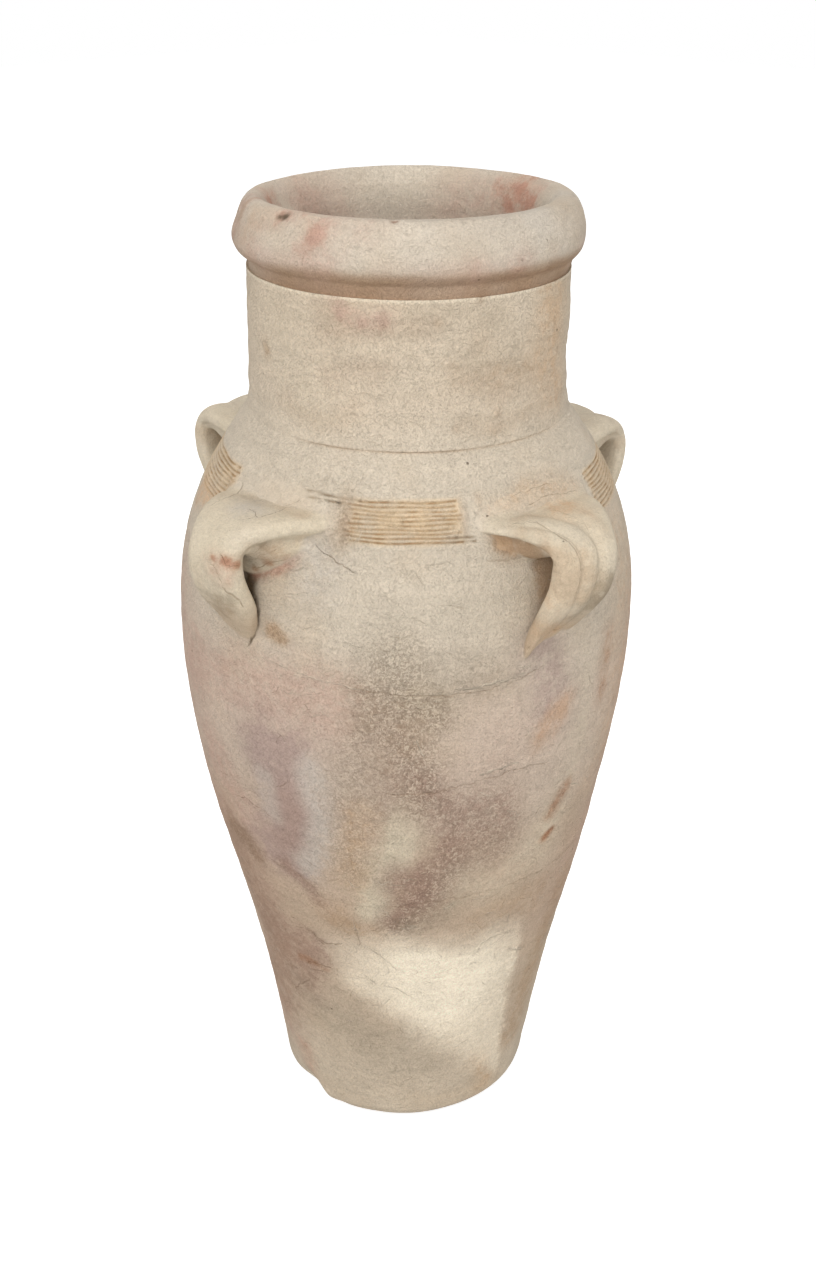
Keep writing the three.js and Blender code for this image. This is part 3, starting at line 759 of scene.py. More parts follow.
# Fired clay: the painted tint, broken by mottling, grain, flecks, pits and cracks
def clay_material(name, grain=1.0, mottle=1.0):
    material = bpy.data.materials.new(name)
    material.use_nodes = True
    nodes, links = material.node_tree.nodes, material.node_tree.links
    shader = nodes["Principled BSDF"].inputs
    shader["Specular IOR Level"].default_value = 0.18

    def feed(socket, value):
        if hasattr(value, "links"):
            links.new(value, socket)
        else:
            socket.default_value = value

    # The outputs of a new node, with values or links for its first sockets in order and for others by name
    def node(kind, *values, **settings):
        made = nodes.new("ShaderNode" + kind)
        for key, value in settings.items():
            if key in made.inputs:
                feed(made.inputs[key], value)
            else:
                setattr(made, key, value)
        for socket, value in zip(made.inputs, values):
            feed(socket, value)
        return made.outputs

    def clouds(scale, detail, rough=0.6, warp=0.0):
        made = node("TexNoise", Vector=where, Scale=scale, Detail=detail, Roughness=rough, Distortion=warp)
        return made["Fac"]

    def ramp(source, *stops):
        made = nodes.new("ShaderNodeValToRGB")
        links.new(source, made.inputs["Fac"])
        elements = made.color_ramp.elements
        while len(elements) < len(stops):
            elements.new(1.0)
        for element, (position, level) in zip(elements, stops):
            element.position = position
            element.color = (level, level, level, 1)
        return made.outputs["Color"]

    def mix(kind, share, first, second):
        made = nodes.new("ShaderNodeMix")
        made.data_type = "RGBA"
        made.blend_type = kind
        for k, value in ((0, share), (6, first), (7, second)):
            feed(made.inputs[k], value)
        return made.outputs[2]

    def times(first, second):
        return node("Math", first, second, operation="MULTIPLY")[0]

    def times_plus(first, second, third):
        return node("Math", first, second, third, operation="MULTIPLY_ADD")[0]

    def stepped(value, *limits):
        return node("MapRange", value, *limits, interpolation_type="SMOOTHSTEP")["Result"]

    where = node("TexCoord")["Object"]
    tint, stain_and_shade = [node("Attribute", attribute_name=layer)["Color"] for layer in ("tint", "stain_and_shade")]
    layers = ("cover", "fleck", "side", "deep")
    cover, fleck, side, deep = [node("Attribute", attribute_name=layer)["Fac"] for layer in layers]
    fine = clouds(380, 6, 0.65)
    grit = clouds(1300, 4, 0.7)
    flakes = clouds(640, 3, 0.6, 1.4)
    scratch = ramp(clouds(230, 2, 0.5, 2.2), (0.475, 0.0), (0.5, 1.0), (0.525, 0.0))
    wheel = node("Mapping", where, Scale=(0.06, 0.06, 1))["Vector"]
    lines = node("TexNoise", Vector=wheel, Scale=420.0, Detail=4.0, Roughness=0.6)["Fac"]
    cells = node("TexVoronoi", Vector=where, Scale=170.0, Randomness=1.0)
    chosen = ramp(node("SeparateColor", cells["Color"])["Red"], (0.94, 0.0), (0.96, 1.0))
    pit = times(ramp(cells["Distance"], (0.04, 1.0), (0.1, 0.0)), chosen)
    gap = stepped(node("Math", side, operation="ABSOLUTE")[0], 0.3, 1.1, 1.0, 0.0)
    crack = times(gap, times(deep, ramp(fine, (0.34, 0.35), (0.55, 1.0))))

    stain_and_shade_cover = stepped(times_plus(clouds(210, 8, 0.7), 2.1, cover), 1.22, 1.72)
    body = mix("MIX", times(stain_and_shade_cover, 0.75), tint, stain_and_shade)
    for share, pattern, low, high in (
        (0.3 * mottle, clouds(60, 6), 0.84, 1.14),
        (0.3 * mottle, fine, 0.84, 1.15),
        (0.35 * mottle, lines, 0.86, 1.12),
        (0.7 * grain, grit, 0.78, 1.2),
    ):
        body = mix("MULTIPLY", share, body, ramp(pattern, (0.3, low), (0.7, high)))
    body = mix("MULTIPLY", times(scratch, 0.4 * grain), body, (1.12, 1.12, 1.12, 1))
    for share, code in (
        (times(times(fleck, ramp(flakes, (0.44, 1.0), (0.54, 0.0))), 0.95), "6b5946"),
        (times(times(fleck, ramp(flakes, (0.55, 0.0), (0.62, 1.0))), 0.9), "e4d5bd"),
        (times(pit, 0.7), "54432f"),
        (crack, "7d644a"),
        (times(crack, -1.0), "e6d8c2"),
    ):
        body = mix("MIX", share, body, (*colour(code), 1))
    links.new(body, shader["Base Color"])
    links.new(ramp(fine, (0.3, 0.97), (0.7, 0.82)), shader["Roughness"])

    relief = times_plus(crack, -1.5, times_plus(scratch, 0.42, times_plus(pit, -1.5, grit)))
    close = node("Bump", Strength=0.75 * grain, Distance=0.00105, Height=relief)["Normal"]
    broad = node("Bump", Strength=0.45, Distance=0.0016, Height=fine, Normal=close)["Normal"]
    links.new(broad, shader["Normal"])
    return material


wall_clay = clay_material("wall_clay")
neck_clay = clay_material("neck_clay", grain=1.05, mottle=0.9)
rim_clay = clay_material("rim_clay", grain=0.93, mottle=0.8)
strap_clay = clay_material("strap_clay", grain=0.8, mottle=0.8)


# Columns of points round each turned piece
FOOT_COLUMNS = 360
WALL_COLUMNS = 560
SHOULDER_COLUMNS = 680
NECK_COLUMNS = 420

# Foot: the underside, the worn heel, and the floor inside
CENTRE_HOLE = 0.6
floor_r = heel_r - BODY_WALL
foot_round = bezier([(FOOT_RADIUS, 0), (FOOT_HOLD, 0), heel], 60)
underside = spaced(np.array([(CENTRE_HOLE, 0.0), (FOOT_RADIUS, 0.0)]), 2.5)
foot_outside = np.r_[underside[:-1], spaced(foot_round, 0.8)]
foot_inside = spaced(np.array([(floor_r, floor_z), (CENTRE_HOLE, floor_z)]), 3)


def foot_skin(front, z, points):
    return skin(front, z, points) * (from_axis(points) / heel_r) ** 3


def floor_skin(front, z, points):
    return 0.2 * cloudy(points, 12, 2, 46) * smooth(floor_r, floor_r - 6, from_axis(points))


def heel_paint(front, z, points):
    paint = wall_paint(front, z, points)
    paint[..., TINT] = lay(paint[..., TINT], "tan", 0.5 * (1 - smooth(0, 1.5, z)))
    return paint


turned(
    "jar_foot",
    [(foot_outside, foot_skin, heel_paint), (foot_inside, floor_skin, inner_paint)],
    FOOT_COLUMNS, wall_clay, "base_slab", closed=False, directions=[(1, 0), (0, 1)])


# Walls
def inside_of(curve, first, last):
    inner = curve - normals(curve) * BODY_WALL
    inner[0], inner[-1] = first, last
    return spaced(inner, 8)[::-1]


belly_lap = (belly_r - BODY_WALL, belly_z + BELLY_LAP)
lower_inside = inside_of(lower_curve, (floor_r, floor_z), belly_lap)
turned(
    "jar_lower_wall",
    [(spaced(lower_curve, 0.9), skin, wall_paint), (lower_inside, inner_skin, inner_paint)],
    WALL_COLUMNS, wall_clay, "lower_body")

comb_low = min(arc[2] for arc in COMB_ARCS) - 1.5
comb_high = max(arc[3] for arc in COMB_ARCS) + 1.8
joint_low = neck_z - 3
heights = shoulder_curve[:, 1]
shoulder_rows = np.concatenate([spaced(shoulder_curve[rows], step) for rows, step in (
    (heights < comb_low, 0.9),
    ((heights >= comb_low) & (heights <= comb_high), 0.24),
    ((heights > comb_high) & (heights < joint_low), 0.8),
    (heights >= joint_low, 0.25),
)])
shoulder_lip = shoulder_curve[-1] - normals(shoulder_curve)[-1] * BODY_WALL
shoulder_inside = inside_of(shoulder_curve, belly_lap, shoulder_lip)
turned(
    "jar_shoulder",
    [(shoulder_rows, skin, wall_paint), (shoulder_inside, inner_skin, inner_paint)],
    SHOULDER_COLUMNS, wall_clay, "upper_body")

# Neck, with its throwing rings
waist = (NECK_WAIST_RADIUS, neck_z + NECK_FOOT_FILLET)
neck_curve = np.r_[
    bezier([neck_foot, (NECK_WAIST_RADIUS, neck_z + NECK_FLARE), waist], 40)[:-1],
    bezier([waist, (NECK_WAIST_RADIUS, neck_top - 20), (NECK_TOP_RADIUS, neck_top)], 60),
]
neck_joined = neck_curve[:, 1] < neck_z + 3
neck_rows = np.r_[spaced(neck_curve[neck_joined], 0.25), spaced(neck_curve[~neck_joined], 0.8)]
bore = NECK_WAIST_RADIUS - NECK_WALL
neck_inside = spaced(np.array([(bore, neck_top - RIM_LAP), (bore, neck_z - NECK_LAP)]), 3)
turned(
    "jar_neck",
    [(neck_rows, skin, wall_paint), (neck_inside, inner_skin, inner_paint)],
    NECK_COLUMNS, neck_clay, "neck_collar")

# Rolled lip, from the cove over the crown and down the throat
roll_half = (lip_r - MOUTH_RADIUS) / 2
roll_radius = MOUTH_RADIUS + roll_half
roll_z = rim_top - LIP_CROWN
under_turn = np.radians(np.linspace(-LIP_TUCK, 0, 20))
over_turn = np.radians(np.linspace(0, 180, 60))
under_roll = np.c_[roll_radius + roll_half * np.cos(under_turn), roll_z + LIP_DROP * np.sin(under_turn)]
over_roll = np.c_[roll_radius + roll_half * np.cos(over_turn), roll_z + LIP_CROWN * np.sin(over_turn)]
cove_foot = (NECK_TOP_RADIUS - COVE_STEP, neck_top - 0.8)
cove = bezier([cove_foot, (cove_foot[0], (neck_top + under_roll[0, 1]) / 2), under_roll[0]], 20)
throat = np.array([(MOUTH_RADIUS, roll_z), (MOUTH_RADIUS, neck_top - RIM_LAP)])
lip_curve = np.r_[cove[:-1], under_roll[:-1], over_roll[:-1], throat]

# Marks on the lip: angle, radius, height, size, colour, strength. The darkest brown and the umber marks lie
# in chips.
LIP_MARKS = [
    (-46, 60, 398, 6, "blush", 0.6), (-38, 58.5, 399.4, 6, "blush", 0.45),
    (-29.6, 63.3, 394.7, 6, "blush", 0.6), (-33, 64.6, 390, 5, "blush", 0.3),
    (-4.8, 58.3, 399.7, 1.7, "umber", 0.8), (-93, 52, 395.2, 6, "blush", 0.6),
    (-75, 56, 399.5, 7, "blush", 0.45), (-25, 59.5, 399, 8, "rose", 0.5),
    (-12, 60, 398.5, 9, "rose", 0.3), (36, 64.8, 385, 7, "blush", 0.3), (20, 64.5, 383, 8, "rose", 0.35),
    (-30, 64.8, 385, 14, "rose", 0.4), (-59, 64.7, 388, 14, "rose", 0.45),
    (-80, 64.5, 389, 16, "rose", 0.55), (-66, 63, 394, 12, "buff", 0.4),
    (114, 50.5, 391, 12, "blush", 0.65), (125, 51.5, 394.5, 11, "blush", 0.6),
    (135, 50.5, 390, 12, "blush", 0.45), (-120, 51, 394, 12, "blush", 0.2),
    (-100, 51, 395, 9, "blush", 0.4), (160, 50, 388, 14, "rose", 0.5), (-142, 50, 387, 14, "rose", 0.5),
    (-120, 50.5, 391, 8, "rose", 0.3), (-150, 64, 392, 12, "rose", 0.4), (100, 64, 392, 9, "rose", 0.4),
    (-78, 64, 388, 16, "umber", 0.22), (-132, 50, 388, 15, "rose", 0.5), (178, 57, 399, 20, "pale", 0.7),
    (-150, 57, 399, 16, "pale", 0.5), (-44.8, 60.5, 398.4, 2.3, "soot_and_shade", 0.95),
    (-47.5, 61, 398, 1.6, "soot_and_shade", 0.8),
]


def lip_skin(front, z, points):
    rim_share = smooth(neck_top, neck_top + 3, z)
    d = 0.35 * cloudy(points, 45, 2, 51) + 0.14 * cloudy(points, 9, 3, 52) + 0.45
    d += 0.06 * noise(points * (0.05, 0.05, 1), 1.6, 53)
    d += 1.6 * bell(apart(front, -84), 34) * bell(z - 383, 5)
    d -= 1.1 * bell(apart(front, -118), 30) * smooth(386, 394, z)
    d -= 0.6 * smooth(95, 150, np.abs(front)) * smooth(393, 399, z)
    for at, radius, height, size, name, _ in LIP_MARKS:
        if name in ("soot_and_shade", "umber"):
            away = np.linalg.norm(points - faced(radius, at, height), axis=-1)
            d -= 0.9 * bell(away, size)
    return d * rim_share


def lip_paint(front, z, points):
    tint = lay(CLAY["pale"], "mist", 0.55 + 0.3 * cloudy(points, 30, 3, 54))
    tint = lay(tint, "buff", 0.3 + 0.3 * cloudy(points, 16, 3, 60))
    radius = from_axis(points)
    tint = lay(tint, "rose", 0.35 * (1 - smooth(383, 391, z)) * smooth(-0.4, 0.6, cloudy(points, 22, 3, 57)))
    outside = smooth(55, 57, radius)
    streak = 0.5 + 0.5 * noise(points * (0.04, 0.04, 1), 1.1, 58)
    # The underside of the roll, below its widest line, in tan and umber streaks: partly the tan clay and
    # partly painted shade under the roll, weaker towards the left
    under = outside * (1 - smooth(380.5, 385.5, z + 1.6 * cloudy(points, 16, 3, 55)))
    under = under * (0.45 + 0.55 * smooth(-74, -36, front))
    tint = lay(tint, "tan", under * (0.6 + 0.35 * smooth(-0.4, 0.4, cloudy(points, 18, 3, 59))))
    tint = lay(tint, "umber", under * (0.2 + 0.45 * streak))
    tint = lay(tint, "pale", 0.5 * (1 - smooth(50.2, 53.5, radius)))
    return marked(tint, points, LIP_MARKS, 0.4 * cloudy(points, 7, 4, 56))


turned(
    "jar_lip",
    [(spaced(lip_curve, 0.8), lip_skin, lip_paint)],
    NECK_COLUMNS, rim_clay, "rim_roll")

# Straps, measured on the middle line as they were pulled
ROOT_DROP = 25
TAIL_RISE = 18
APEX_DROP = 11
STRAP_REACH = 16.8
ROOT_EMBED = 8
TAIL_EMBED = 9
LAUNCH = 16
LAUNCH_HOLD = 17
CROWN_HOLD = 13
TAIL_PITCH = 58
TAIL_HOLD = 18
STRAP_SIDES = 120
STRAP_STEPS = 160
ROOT_FILLET = (4.5, 2.2)
ROOT_SQUARENESS = 4.5
TAIL_FILLET = 0.9
WALL_CREASE = 0.7
FILLET_ROWS = 14
FOOT_SINK = 0.45
STRAP_ROWS = 110
TAIL_LENGTH = 12
SECTION_HALVES = (20, 8)
SECTION_SQUARENESS = 3.2


# Points round the jar over the unrolled wall: how far up along it and how far off it
def to_wall(radius, height):
    foot = np.array(height, float)
    stand = np.zeros_like(foot)
    for _ in range(5):
        tilt = np.interp(foot, wall_curve[:, 1], wall_tilt)
        stand = (radius - wall_radius(foot)) * np.cos(tilt) + (height - foot) * np.sin(tilt)
        foot = height - stand * np.sin(tilt)
    return np.interp(foot, wall_curve[:, 1], wall_run), stand


# Points over the unrolled wall, brought back round the jar: their radius, compass and height, their angle
# from the front, and how far the wall's skin stands off under them
def from_wall(sideways, run, stand, middle):
    foot = np.interp(run, wall_run, wall_curve[:, 1])
    tilt = np.interp(run, wall_run, wall_tilt)
    radius = wall_radius(foot)
    compass = middle + sideways / radius
    front = apart(np.degrees(compass), FRONT_COMPASS)
    follow = skin(front, foot, around(radius, compass, foot))
    return radius + stand * np.cos(tilt), compass, foot + stand * np.sin(tilt), front, follow


def eased(sizes, t):
    from_root = sizes[0] + (sizes[1] - sizes[0]) * smooth(0, 0.45, t)
    return from_root + (sizes[2] - from_root) * smooth(0.6, 1, t)


def heading(points):
    middle = points.mean(axis=0)
    return math.atan2(middle[1], middle[0])


def squared(x, power):
    return np.sign(x) * np.abs(x) ** power


# Turns round a strap's section that space its points about evenly
def even_turns(count):
    fine = np.linspace(0, 2 * np.pi, 4001)
    power = 2 / SECTION_SQUARENESS
    x = SECTION_HALVES[0] * squared(np.cos(fine), power)
    y = SECTION_HALVES[1] * squared(np.sin(fine), power)
    run = np.r_[0, np.cumsum(np.hypot(np.diff(x), np.diff(y)))]
    return np.interp(np.arange(count) / count * run[-1], run, fine)


# The middle line of a strap: out of the shoulder, over the crown and down into the wall
def strap_line(lift, thickness):
    root_z, tail_z = neck_z - ROOT_DROP + lift, belly_z + TAIL_RISE + lift
    root = toward((wall_radius(root_z), root_z), LAUNCH, -ROOT_EMBED)
    apex = (belly_r + STRAP_REACH - thickness / 2, root_z - APEX_DROP)
    tail = toward((wall_radius(tail_z), tail_z), TAIL_PITCH, -TAIL_EMBED)
    crown, under = (apex[0], apex[1] + CROWN_HOLD), (apex[0], apex[1] - CROWN_HOLD)
    upper = bezier([root, toward(root, LAUNCH, LAUNCH_HOLD), crown, apex], STRAP_STEPS // 2)
    lower = bezier([apex, under, toward(tail, TAIL_PITCH, TAIL_HOLD), tail], STRAP_STEPS // 2)
    return np.r_[upper[:-1], lower]


# A strap's skin over the unrolled wall, brought back round the jar, roughened, painted and put in place
def strap_skin(name, grid, middle):
    reached, compass, z, front, follow = from_wall(*np.moveaxis(grid, -1, 0), middle)
    follow *= np.exp(-np.maximum(grid[..., 2], 0) / 4)
    base = around(reached, compass, z)
    facing = np.cross(np.gradient(base, axis=0), wrapped_gradient(base))
    facing /= np.linalg.norm(facing, axis=-1, keepdims=True) + 1e-9
    clear = smooth(-0.3, 2.5, grid[..., 2])[..., None]
    lumps = 0.45 * cloudy(base, 16, 2, 61) + 0.13 * cloudy(base, 4, 2, 62)
    lumps += 0.12 * noise(grid * (1, 0.12, 0.4), 2.2, 63)
    radial = np.stack([np.cos(compass), np.sin(compass), np.zeros_like(compass)], axis=-1)
    shape = base + radial * follow[..., None] + facing * (lumps[..., None] - 0.25) * clear
    paint = strap_paint(front, z, shape, facing, grid)
    place("strap_" + name, shape, paint, False, [], strap_clay, "handle_" + name)


# A strap by its lift, twist, sizes from root to tail, and marks of the hand: the web under its root (depth,
# recess, hollow, where it runs out, rise to the near edge), the grooves on its outer face, the sway of its
# tail and the tail's cut (near side, lean, tip)
def strap(name, lift, turn_by, width, thickness, squareness, web, grooves, sway, cut):
    pad = node_points("root_pad_" + name)
    node = node_points("handle_" + name)
    root_compass = heading(pad) + math.radians(turn_by)
    tail_compass = heading(node[node[:, 2] < node[:, 2].min() + TAIL_LENGTH]) + math.radians(turn_by)
    line = strap_line(lift, thickness[1])
    t = np.linspace(0, 1, len(line))[:, None]
    away = normals(line)
    turn = even_turns(STRAP_SIDES)[None, :]
    power = 2 / (squareness + (ROOT_SQUARENESS - squareness) * (1 - smooth(0.1, 0.45, t)))
    across, out = squared(np.cos(turn), power), squared(np.sin(turn), power)
    moved = smooth(0.05, 0.45, t)
    dip = sum(depth * bell(across - at - (to - at) * moved, wide) for at, to, wide, depth in grooves)
    dip = dip * (out > 0) * np.sin(np.pi * np.clip(t, 0.05, 0.92)) ** 0.7
    depth, recess, hollow, run_out, rise = web
    near, lean, tip = cut
    down = np.clip(-out, 0, 1)
    deep = depth * (1 - rise * smooth(0, 1, near * across))
    offset = out * eased(thickness, t) / 2 - dip - deep * down * (1 - smooth(0.2 * run_out, run_out, t))
    drawn = recess * smooth(0.02, 0.25, down) + hollow * np.sin(np.pi * down)
    across = across * (1 - drawn * (1 - smooth(0.5 * run_out, run_out + 0.06, t)))
    drop = lean * near * across + tip * (np.exp((near * across - 1) / 0.3) - 0.3)
    radius = line[:, :1] - away[:, :1] * offset
    height = line[:, 1:] - away[:, 1:] * offset - drop * smooth(0.6, 1, t)
    bulge = sway * bell(t - 0.78, 0.14)
    compass = tail_compass * t + root_compass * (1 - t) + (across * eased(width, t) / 2 + bulge) / radius
    run, stand = to_wall(radius, height)
    foot = np.interp(run, wall_run, wall_curve[:, 1])
    middle = (root_compass + tail_compass) / 2
    sideways = (compass - middle) * wall_radius(foot)
    loft = np.stack([sideways, run, stand], axis=-1)
    strap_skin(name, bedded(loft, np.sin(turn[0]), hash_seed(name)), middle)


def hash_seed(name):
    return sum(ord(letter) for letter in name) % 97


def wrapped_gradient(points):
    return (np.roll(points, -1, axis=1) - np.roll(points, 1, axis=1)) / 2


# Where each side of a strap comes down to a height over the wall, counted in steps along the strap
def crossing(stand, level, from_root):
    steps, sides = stand.shape
    found = np.empty(sides)
    for side in range(sides):
        column = stand[:, side] if from_root else stand[::-1, side]
        k = max(int(np.argmax(column > level[side])), 1)
        share = (level[side] - column[k - 1]) / (column[k] - column[k - 1])
        step = k - 1 + np.clip(share, 0, 1)
        found[side] = step if from_root else steps - 1 - step
    return found


def sampled(loft, at):
    low = np.clip(np.floor(at).astype(int), 0, len(loft) - 2)
    share = (at - low)[..., None]
    sides = np.broadcast_to(np.arange(loft.shape[1]), at.shape)
    return loft[low, sides] * (1 - share) + loft[low + 1, sides] * share


# A ring 10 mm in radius, as points for noise that runs round an edge
def noise_ring(count):
    turn = np.arange(count) / count * 2 * np.pi
    return turn, np.c_[np.cos(turn), np.sin(turn), np.zeros_like(turn)] * 10


# The ring where a strap meets the wall, spread out over it with a ragged edge
def spread(ring, reach_of, seed):
    flat = ring[:, :2]
    along = np.roll(flat, -1, axis=0) - np.roll(flat, 1, axis=0)
    out = np.c_[along[:, 1], -along[:, 0]]
    out /= np.linalg.norm(out, axis=1, keepdims=True) + 1e-9
    if ((flat - flat.mean(axis=0)) * out).sum() < 0:
        out = -out
    ragged = 1 + 0.45 * cloudy(noise_ring(len(ring))[1], 5, 3, seed)
    reached = flat + out * (reach_of(out[:, 1]) * ragged)[:, None]
    return np.c_[reached, np.full(len(ring), -FOOT_SINK)]


def bent(first, middle, last):
    share = np.linspace(0, 1, FILLET_ROWS)[:, None, None]
    return first * (1 - share) ** 2 + middle * 2 * share * (1 - share) + last * share ** 2


# A strap whose ends swell into the wall: fillets at root and tail, and the pulled stretch between them
def bedded(loft, out, seed):
    stand = loft[..., 2]
    flat = np.zeros(len(out))
    level = ROOT_FILLET[1] + (ROOT_FILLET[0] - ROOT_FILLET[1]) * smooth(-0.3, 0.4, out)
    root_on, root_off = crossing(stand, flat, True), crossing(stand, level, True)
    tail_on, tail_off = crossing(stand, flat, False), crossing(stand, flat + TAIL_FILLET, False)
    root_start, root_mid = sampled(loft, root_off), sampled(loft, root_on)
    root_foot = spread(root_mid, lambda up: np.clip(3.5 + 4 * up, 1.2, 7), seed)
    root_mid[:, 2] += WALL_CREASE * (1 - smooth(-0.6, 0.4, out))
    tail_start, tail_mid = sampled(loft, tail_off), sampled(loft, tail_on)
    tail_foot = spread(tail_mid, lambda up: np.clip(1.3 - 0.6 * up, 0.8, 2), seed + 5)
    steps = np.linspace(0, 1, STRAP_ROWS)[1:-1, None]
    middle = sampled(loft, root_off + (tail_off - root_off) * steps)
    return np.concatenate([
        bent(root_foot, root_mid, root_start), middle, bent(tail_start, tail_mid, tail_foot),
    ])


# Marks on the straps, some of them painted shade: angle, radius, height, size, colour, strength
STRAP_MARKS = [
    (-39.9, 107.5, 287.7, 2.4, "rust", 0.6), (-36.9, 106.6, 288.1, 2.8, "rust", 0.65),
    (-35.5, 102.9, 285.5, 2.4, "rust", 0.6), (-38.5, 107.5, 284.5, 7, "blush", 0.42),
    (-37, 106, 279, 3, "blush", 0.4), (-38, 89.6, 278.3, 2.6, "rust", 0.6),
    (-33.6, 89.2, 282.2, 2.8, "rust", 0.6), (-30.3, 85.7, 283.6, 2.6, "blush", 0.5),
    # The next four marks, under the front left root, are painted shade in the recess of the web
    (-38.1, 91.9, 283, 6, "soot_and_shade", 0.45), (-33.8, 93.1, 285.1, 6, "umber", 0.5),
    (-31.1, 91.1, 287.3, 7, "tan", 0.5), (-32.7, 95.2, 290.9, 4, "smoke_and_shade", 0.5),
    # The two ash marks on top of the front left root are painted shade
    (-46, 79, 301, 8, "ash_and_shade", 0.45), (-40, 78, 301, 6, "ash_and_shade", 0.35), (-40, 88, 300, 9, "mist", 0.5),
    # The three marks on the front left tail are painted shade
    (-39, 104, 270, 10, "ash_and_shade", 0.6), (-41, 102, 264, 8, "tan", 0.5), (-46, 102, 266, 12, "ash_and_shade", 0.5),
    (31.7, 108.3, 283.9, 1.5, "soot_and_shade", 0.5), (31.4, 107.7, 277.6, 1.3, "soot_and_shade", 0.45),
    # The four tan marks in the recess under the front right root, here and at the start of the next line, are
    # partly tan clay and partly painted shade
    (27.5, 83, 289.4, 7, "tan", 0.8), (27.3, 90, 291.5, 6, "tan", 0.8), (28.9, 98, 291.2, 5, "tan", 0.85),
    (30.6, 88, 287, 7, "tan", 0.9), (29.5, 101, 276, 7, "peach", 0.5), (33, 97, 258, 8, "peach", 0.5),
    # The ash and smoke marks here and on the next line, on the lower loop of the front right strap, are
    # painted shade
    (42, 84, 301, 12, "peach", 0.45), (37.4, 106.7, 272, 8, "ash_and_shade", 0.65), (36, 102, 265, 7, "ash_and_shade", 0.65),
    (41, 105.8, 274, 12, "ash_and_shade", 0.7), (46, 103, 268, 13, "smoke_and_shade", 0.55), (50, 103, 281, 13, "ash_and_shade", 0.5),
    (33, 106, 283, 13, "buff", 0.9), (31, 101, 262, 10, "tan", 0.4),
]


# Cracks and creases on the straps, with one painted shadow line under a fold: points (front angle, radius,
# height), half width, darkness
STRAP_LINES = [
    ([(26.3, 85.5, 299), (30.2, 89.8, 300.1), (31.5, 95.4, 299.3), (32, 100.1, 297.8), (33.1, 104.6, 294.7),
      (34.1, 107.1, 291.1), (34.4, 108.3, 286.4), (33.8, 108.4, 281), (33.3, 107.3, 275.4)], 0.4, 0.45),
    ([(38.7, 84.6, 300.1), (40, 95.2, 299.4), (39.8, 102.7, 296.1), (38.8, 108, 289.1), (38, 108.9, 283.3)],
     0.4, 0.3),
    # Painted shadow: the line under the fold at the bottom of the front right tail
    ([(36, 96.3, 258.9), (32.5, 97.5, 259.6), (29.9, 97.7, 259.4), (27.6, 94.1, 253.1)], 0.4, 0.5),
    ([(-37.3, 95.7, 299.9), (-35.2, 92.1, 300.3), (-34, 88.9, 300.4), (-33.7, 84.4, 300.2),
      (-33.7, 77.9, 300), (-31.6, 75.8, 301.8)], 0.32, 0.6),
    ([(-39.7, 88.2, 300.4), (-35.2, 92.1, 300.3)], 0.32, 0.7),
    ([(-56.5, 73.5, 304.1), (-54, 75, 301.5), (-52.7, 78.3, 299.6), (-49.3, 85.8, 300.5),
      (-48.5, 93.7, 300.1)], 0.4, 0.5),
    ([(-37.5, 106.4, 276.6), (-36.2, 104.5, 273.4), (-35.2, 101.9, 269.4)], 0.4, 0.5),
    ([(-38.4, 107, 290), (-36.8, 106.6, 287)], 0.3, 0.7),
    ([(-37, 106.4, 286.4), (-35.6, 103.4, 284.6)], 0.3, 0.7),
    ([(-41, 107.8, 286.8), (-38.6, 107.4, 284), (-38, 107, 279.6)], 0.3, 0.45),
    ([(-38, 89.6, 278.3), (-33.6, 89.2, 282.2), (-30.3, 85.7, 283.6)], 0.45, 0.6),
    ([(-38.1, 91.9, 283), (-33.8, 93.1, 286), (-29, 88.5, 290)], 0.3, 0.35),
    ([(-37, 94, 286), (-32.7, 95.2, 289.5), (-28, 89.5, 292.5)], 0.3, 0.3),
    ([(30.6, 73.8, 303.7), (37.3, 73.1, 305.1), (46.2, 73.3, 304.7)], 0.3, 0.4),
    ([(35.2, 76.5, 301), (42.9, 76.2, 302), (53.3, 77.4, 299.9)], 0.3, 0.45),
    ([(34.6, 71.5, 307), (42, 74.8, 303.4), (48, 74.5, 303)], 0.3, 0.35),
]


def in_space(line):
    angle, radius, height = np.array(line, float).T
    return faced(radius, angle, height)


STRAP_CRACKS_AND_SHADOW = [(in_space(line), width, dark) for line, width, dark in STRAP_LINES]


def strap_paint(front, z, points, facing, grid):
    tint = lay(CLAY["pale"], "cream", 0.5 + 0.4 * smooth(-0.5, 0.5, cloudy(points, 22, 3, 64)))
    tint = lay(tint, "buff", 0.5 * smooth(0, 0.8, cloudy(points, 12, 3, 65)))
    # Painted shade: tan over the lower loop and tail of each strap
    tint = lay(tint, "tan", 0.5 * (1 - smooth(256, 276, z)))
    near = (1 - smooth(0.2, 2.2, grid[..., 2]))[..., None]
    paint = marked(tint, points, STRAP_MARKS, 0.4 * cloudy(points, 6, 4, 66)) * (1 - near)
    paint += wall_paint(front, z, points) * near
    paint[..., SIDE], paint[..., DEEP] = cracked(points, facing, STRAP_CRACKS_AND_SHADOW)
    return paint


